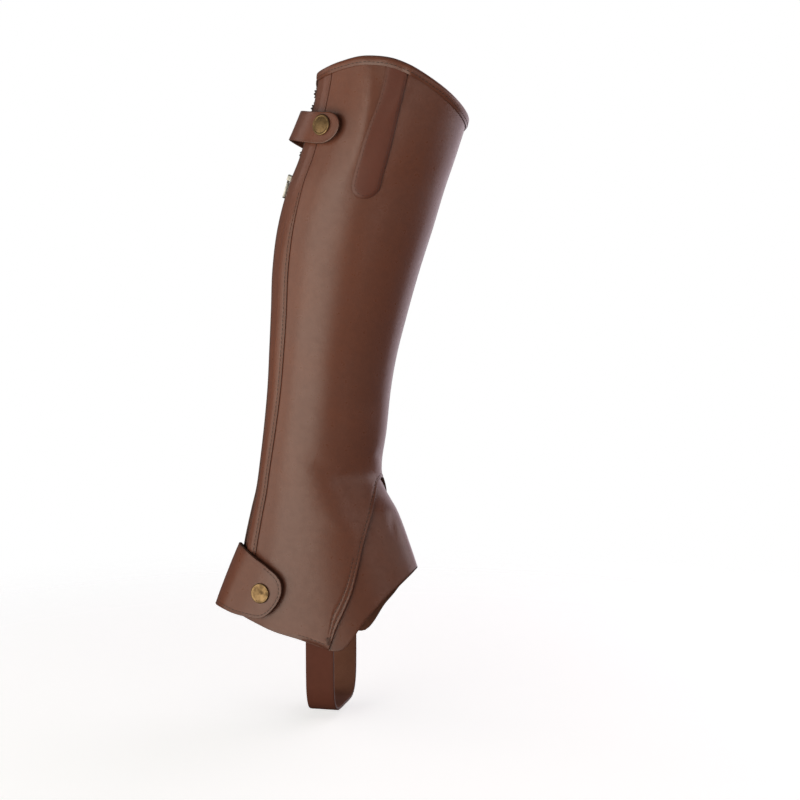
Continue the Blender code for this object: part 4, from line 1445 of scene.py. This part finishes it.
def block(low, high, narrow=1.0):
    """A closed box from its low and high corners, its lower end narrowed."""
    mesh = bmesh.new()
    size = [b - a for a, b in zip(low, high)]
    middle = [(a + b) / 2 for a, b in zip(low, high)]
    bmesh.ops.create_cube(mesh, size=1, matrix=Matrix.Translation(middle) @ Matrix.Diagonal((*size, 1)))
    bmesh.ops.scale(mesh, vec=(narrow, 1, 1), verts=[vert for vert in mesh.verts if vert.co.y < middle[1]])
    return mesh


def barrel(along, out, half_length, radius):
    """A closed cylinder whose axis runs across the zip."""
    mesh = bmesh.new()
    bmesh.ops.create_cone(
        mesh,
        cap_ends=True,
        segments=24,
        radius1=radius,
        radius2=radius,
        depth=2 * half_length,
        matrix=Matrix.Translation((0, along, out)) @ Matrix.Rotation(pi / 2, 4, "Y"),
    )
    return mesh


def zip_slider():
    length = SLIDER_TOP - SLIDER_BOTTOM
    narrow = SLIDER_NARROW_HALF_WIDTH / SLIDER_HALF_WIDTH
    half = SLIDER_HALF_WIDTH
    inner = PULL_BARREL_HALF + GAP
    front_low = PULL_AXIS_ALONG - EAR_HALF_LENGTH
    front_high = PULL_AXIS_ALONG + EAR_HALF_LENGTH
    ear_low = SLIDER_PLATE_TOP - SLIDER_SUNK / 2
    ear_top = PULL_AXIS_OUT + EAR_ABOVE_AXIS
    web_half = SLIDER_WEB_HALF_WIDTH
    meshes = [
        block((-half, 0, SLIDER_PLATE_BOTTOM), (half, length, SLIDER_PLATE_TOP), narrow),
        block((-half, 0, SLIDER_BACK_BOTTOM), (half, length, SLIDER_BACK_TOP), narrow),
        block(
            (-web_half, SLIDER_SUNK, SLIDER_BACK_TOP - SLIDER_SUNK),
            (web_half, length - SLIDER_SUNK, SLIDER_PLATE_BOTTOM + SLIDER_SUNK / 2),
        ),
        block((-inner - EAR_THICK, front_low, ear_low), (-inner, front_high, ear_top)),
        block((inner, front_low, ear_low), (inner + EAR_THICK, front_high, ear_top)),
    ]
    carried(united("zip_slider_metal", meshes, NICKEL, SLIDER_ROUND), "slider_metal", "zip_slider")


def pull_plate():
    """The pull's flat plate, with a raised rim round a sunk face on both sides."""
    mesh = bmesh.new()
    outline = [(point.half_width, point.reach) for point in PULL_OUTLINE]
    outline += [(-half, reach) for half, reach in reversed(outline)]
    corners = []
    for half, reach in outline:
        low_side = PULL_AXIS_OUT - PULL_TIP_DROP * reach / PULL_LENGTH - PULL_THICK / 2
        corners.append(mesh.verts.new((half, PULL_AXIS_ALONG - reach, low_side)))
    face = mesh.faces.new(corners)
    raised = bmesh.ops.extrude_face_region(mesh, geom=[face], use_keep_orig=True)
    verts = [item for item in raised["geom"] if isinstance(item, bmesh.types.BMVert)]
    bmesh.ops.translate(mesh, verts=verts, vec=(0, 0, PULL_THICK))
    bmesh.ops.recalc_face_normals(mesh, faces=mesh.faces)
    broad = [face for face in mesh.faces if len(face.verts) > 4]
    bmesh.ops.inset_individual(mesh, faces=broad, thickness=PULL_RIM)
    bmesh.ops.inset_individual(mesh, faces=broad, thickness=PULL_RIM_SLOPE, depth=-PULL_FACE_SUNK)
    return mesh


def zip_pull():
    eye = barrel(PULL_AXIS_ALONG, PULL_AXIS_OUT, PULL_BARREL_HALF, PULL_BARREL_RADIUS)
    piece = united("zip_pull_metal", [pull_plate(), eye], NICKEL, PULL_ROUND)
    carried(piece, "slider_metal", "zip_pull", body="pull")


def zip_fastener():
    zip_tape("zip_tape_outer", 1)
    zip_tape("zip_tape_inner", -1)
    chain_bottom = hem_height(ZIP_ANGLE) + CHAIN_ABOVE_HEM
    teeth_top = rim_height(ZIP_ANGLE) - BINDING_WIDTH - TEETH_BELOW_BINDING
    tooth_row("zip_chain_teeth", 0, chain_bottom, SLIDER_BOTTOM - SLIDER_CLEAR, "zip_chain")
    tooth_row("zip_row_outer_teeth", 1, SLIDER_TOP + SLIDER_CLEAR, teeth_top, "zip_row_outer")
    tooth_row("zip_row_inner_teeth", -1, SLIDER_TOP + SLIDER_CLEAR, teeth_top, "zip_row_inner")
    zip_slider()
    zip_pull()


# Camera, floor and light

CAMERA_AZIMUTH = 13
CAMERA_DISTANCE = 1200
CAMERA_HEIGHT = -61
AIM_RIGHT = 26
AIM_HEIGHT = -157
FRAME_WIDTH = 600
SENSOR = 36
FLOOR_HEIGHT = -396
FLOOR_RADIUS = 900
FLOOR_MIDDLE_X = -10
FLOOR_GLOW = 0.62
FLOOR_FADES_FROM = 0.45
FLOOR_FADES_TO = 0.85

# Soft panels round the leg, and the height that each one faces
LEG_MIDDLE = -150
ANKLE = -268
Panel = namedtuple("Panel", "name azimuth distance height width tall power colour faces")
PANELS = named_rows(
    Panel,
    ("main panel", -22.5, 1300, -475, 1080, 1350, 16, (1, 0.97, 0.84), LEG_MIDDLE),
    ("side panel", -65, 1300, -375, 946, 1550, 7.2, (1, 0.97, 0.84), LEG_MIDDLE),
    ("tab panel", -100, 1200, 500, 500, 500, 0.7, (1, 0.95, 0.9), LEG_MIDDLE),
    ("back panel", 155, 1500, 0, 1400, 2200, 11, (1, 0.87, 0.98), LEG_MIDDLE),
    ("right panel", 112, 1200, -13, 800, 500, 3.1, (1, 0.89, 0.93), ANKLE),
    ("instep panel", 67, 1200, -50, 1000, 420, 1.3, (1, 0.95, 0.9), ANKLE),
    ("low panel", 33, 1200, -180, 300, 300, 0.5, (1, 0.95, 0.9), ANKLE),
    ("top panel", 0, 300, 1600, 1600, 1600, 2, (1, 1, 1), LEG_MIDDLE),
)


def heading(azimuth):
    """The level direction from the leg to a camera at this azimuth."""
    return Vector((sin(radians(azimuth)), -cos(radians(azimuth)), 0))


def camera():
    right = Vector((cos(radians(CAMERA_AZIMUTH)), sin(radians(CAMERA_AZIMUTH)), 0))
    aim = right * AIM_RIGHT + Vector((0, 0, AIM_HEIGHT))
    eye = aim + heading(CAMERA_AZIMUTH) * CAMERA_DISTANCE
    eye.z = CAMERA_HEIGHT
    look = aim - eye
    data = bpy.data.cameras.new("camera")
    data.sensor_width = SENSOR
    data.lens = SENSOR * look.length / FRAME_WIDTH
    thing = bpy.data.objects.new("camera", data)
    thing.rotation_euler = look.to_track_quat("-Z", "Y").to_euler()
    thing.location = eye * MM
    bpy.context.scene.collection.objects.link(thing)
    bpy.context.scene.camera = thing


def floor_disc():
    mesh = bmesh.new()
    bmesh.ops.create_circle(mesh, cap_ends=True, segments=96, radius=FLOOR_RADIUS)
    bmesh.ops.translate(mesh, verts=mesh.verts, vec=(FLOOR_MIDDLE_X, 0, FLOOR_HEIGHT))
    glow = {"Roughness": 0.9, "Emission Color": (1, 1, 1, 1), "Emission Strength": FLOOR_GLOW}
    finish = Finish("pale floor", glow)
    apart = finish.node("ShaderNodeVectorMath", {"operation": "LENGTH"}, {0: finish.place}, "Value")
    material = finish.wear(
        Base_Color=(0.9, 0.9, 0.9, 1),
        Alpha=finish.ramp(apart, FLOOR_FADES_FROM, FLOOR_FADES_TO, 1.0, 0.0),
    )
    disc = finished("floor", mesh, material)
    disc.visible_diffuse = False
    disc.visible_glossy = False


def panel_light(panel):
    """A soft panel that faces the leg."""
    data = bpy.data.lights.new(panel.name, "AREA")
    data.color = panel.colour
    data.shape = "RECTANGLE"
    data.size = panel.width * MM
    data.size_y = panel.tall * MM
    data.energy = panel.power
    thing = bpy.data.objects.new(panel.name, data)
    place = heading(panel.azimuth) * panel.distance + Vector((0, 0, panel.height))
    look = Vector((0, 0, panel.faces)) - place
    thing.location = place * MM
    thing.rotation_euler = look.to_track_quat("-Z", "Y").to_euler()
    thing.visible_camera = False
    bpy.context.scene.collection.objects.link(thing)


def surroundings():
    """White behind the leg for the eye, and a dim room for the leather to reflect."""
    world = bpy.data.worlds.new("studio")
    bpy.context.scene.world = world
    world.use_nodes = True
    nodes, links = world.node_tree.nodes, world.node_tree.links
    seen = nodes.new("ShaderNodeLightPath").outputs["Is Camera Ray"]
    strength = nodes.new("ShaderNodeMapRange")
    strength.inputs["To Min"].default_value = 0.1
    strength.inputs["To Max"].default_value = 1.0
    links.new(seen, strength.inputs["Value"])
    links.new(strength.outputs[0], nodes["Background"].inputs["Strength"])
    nodes["Background"].inputs["Color"].default_value = (1, 1, 1, 1)


camera()
main_panel()
vamp()
back_strip()
side_strip()
top_binding()
top_tab()
heel_flap()
snap("top_snap", tab_point, TAB_SNAP, 2 * TAB_SNAP_SHARE - 1)
snap("heel_snap", flap_point, FLAP_SNAP, 2 * FLAP_SNAP_SHARE - 1)
stirrup_strap()
zip_fastener()
floor_disc()
surroundings()
for panel in PANELS:
    panel_light(panel)
bpy.context.scene.view_settings.view_transform = "Standard"
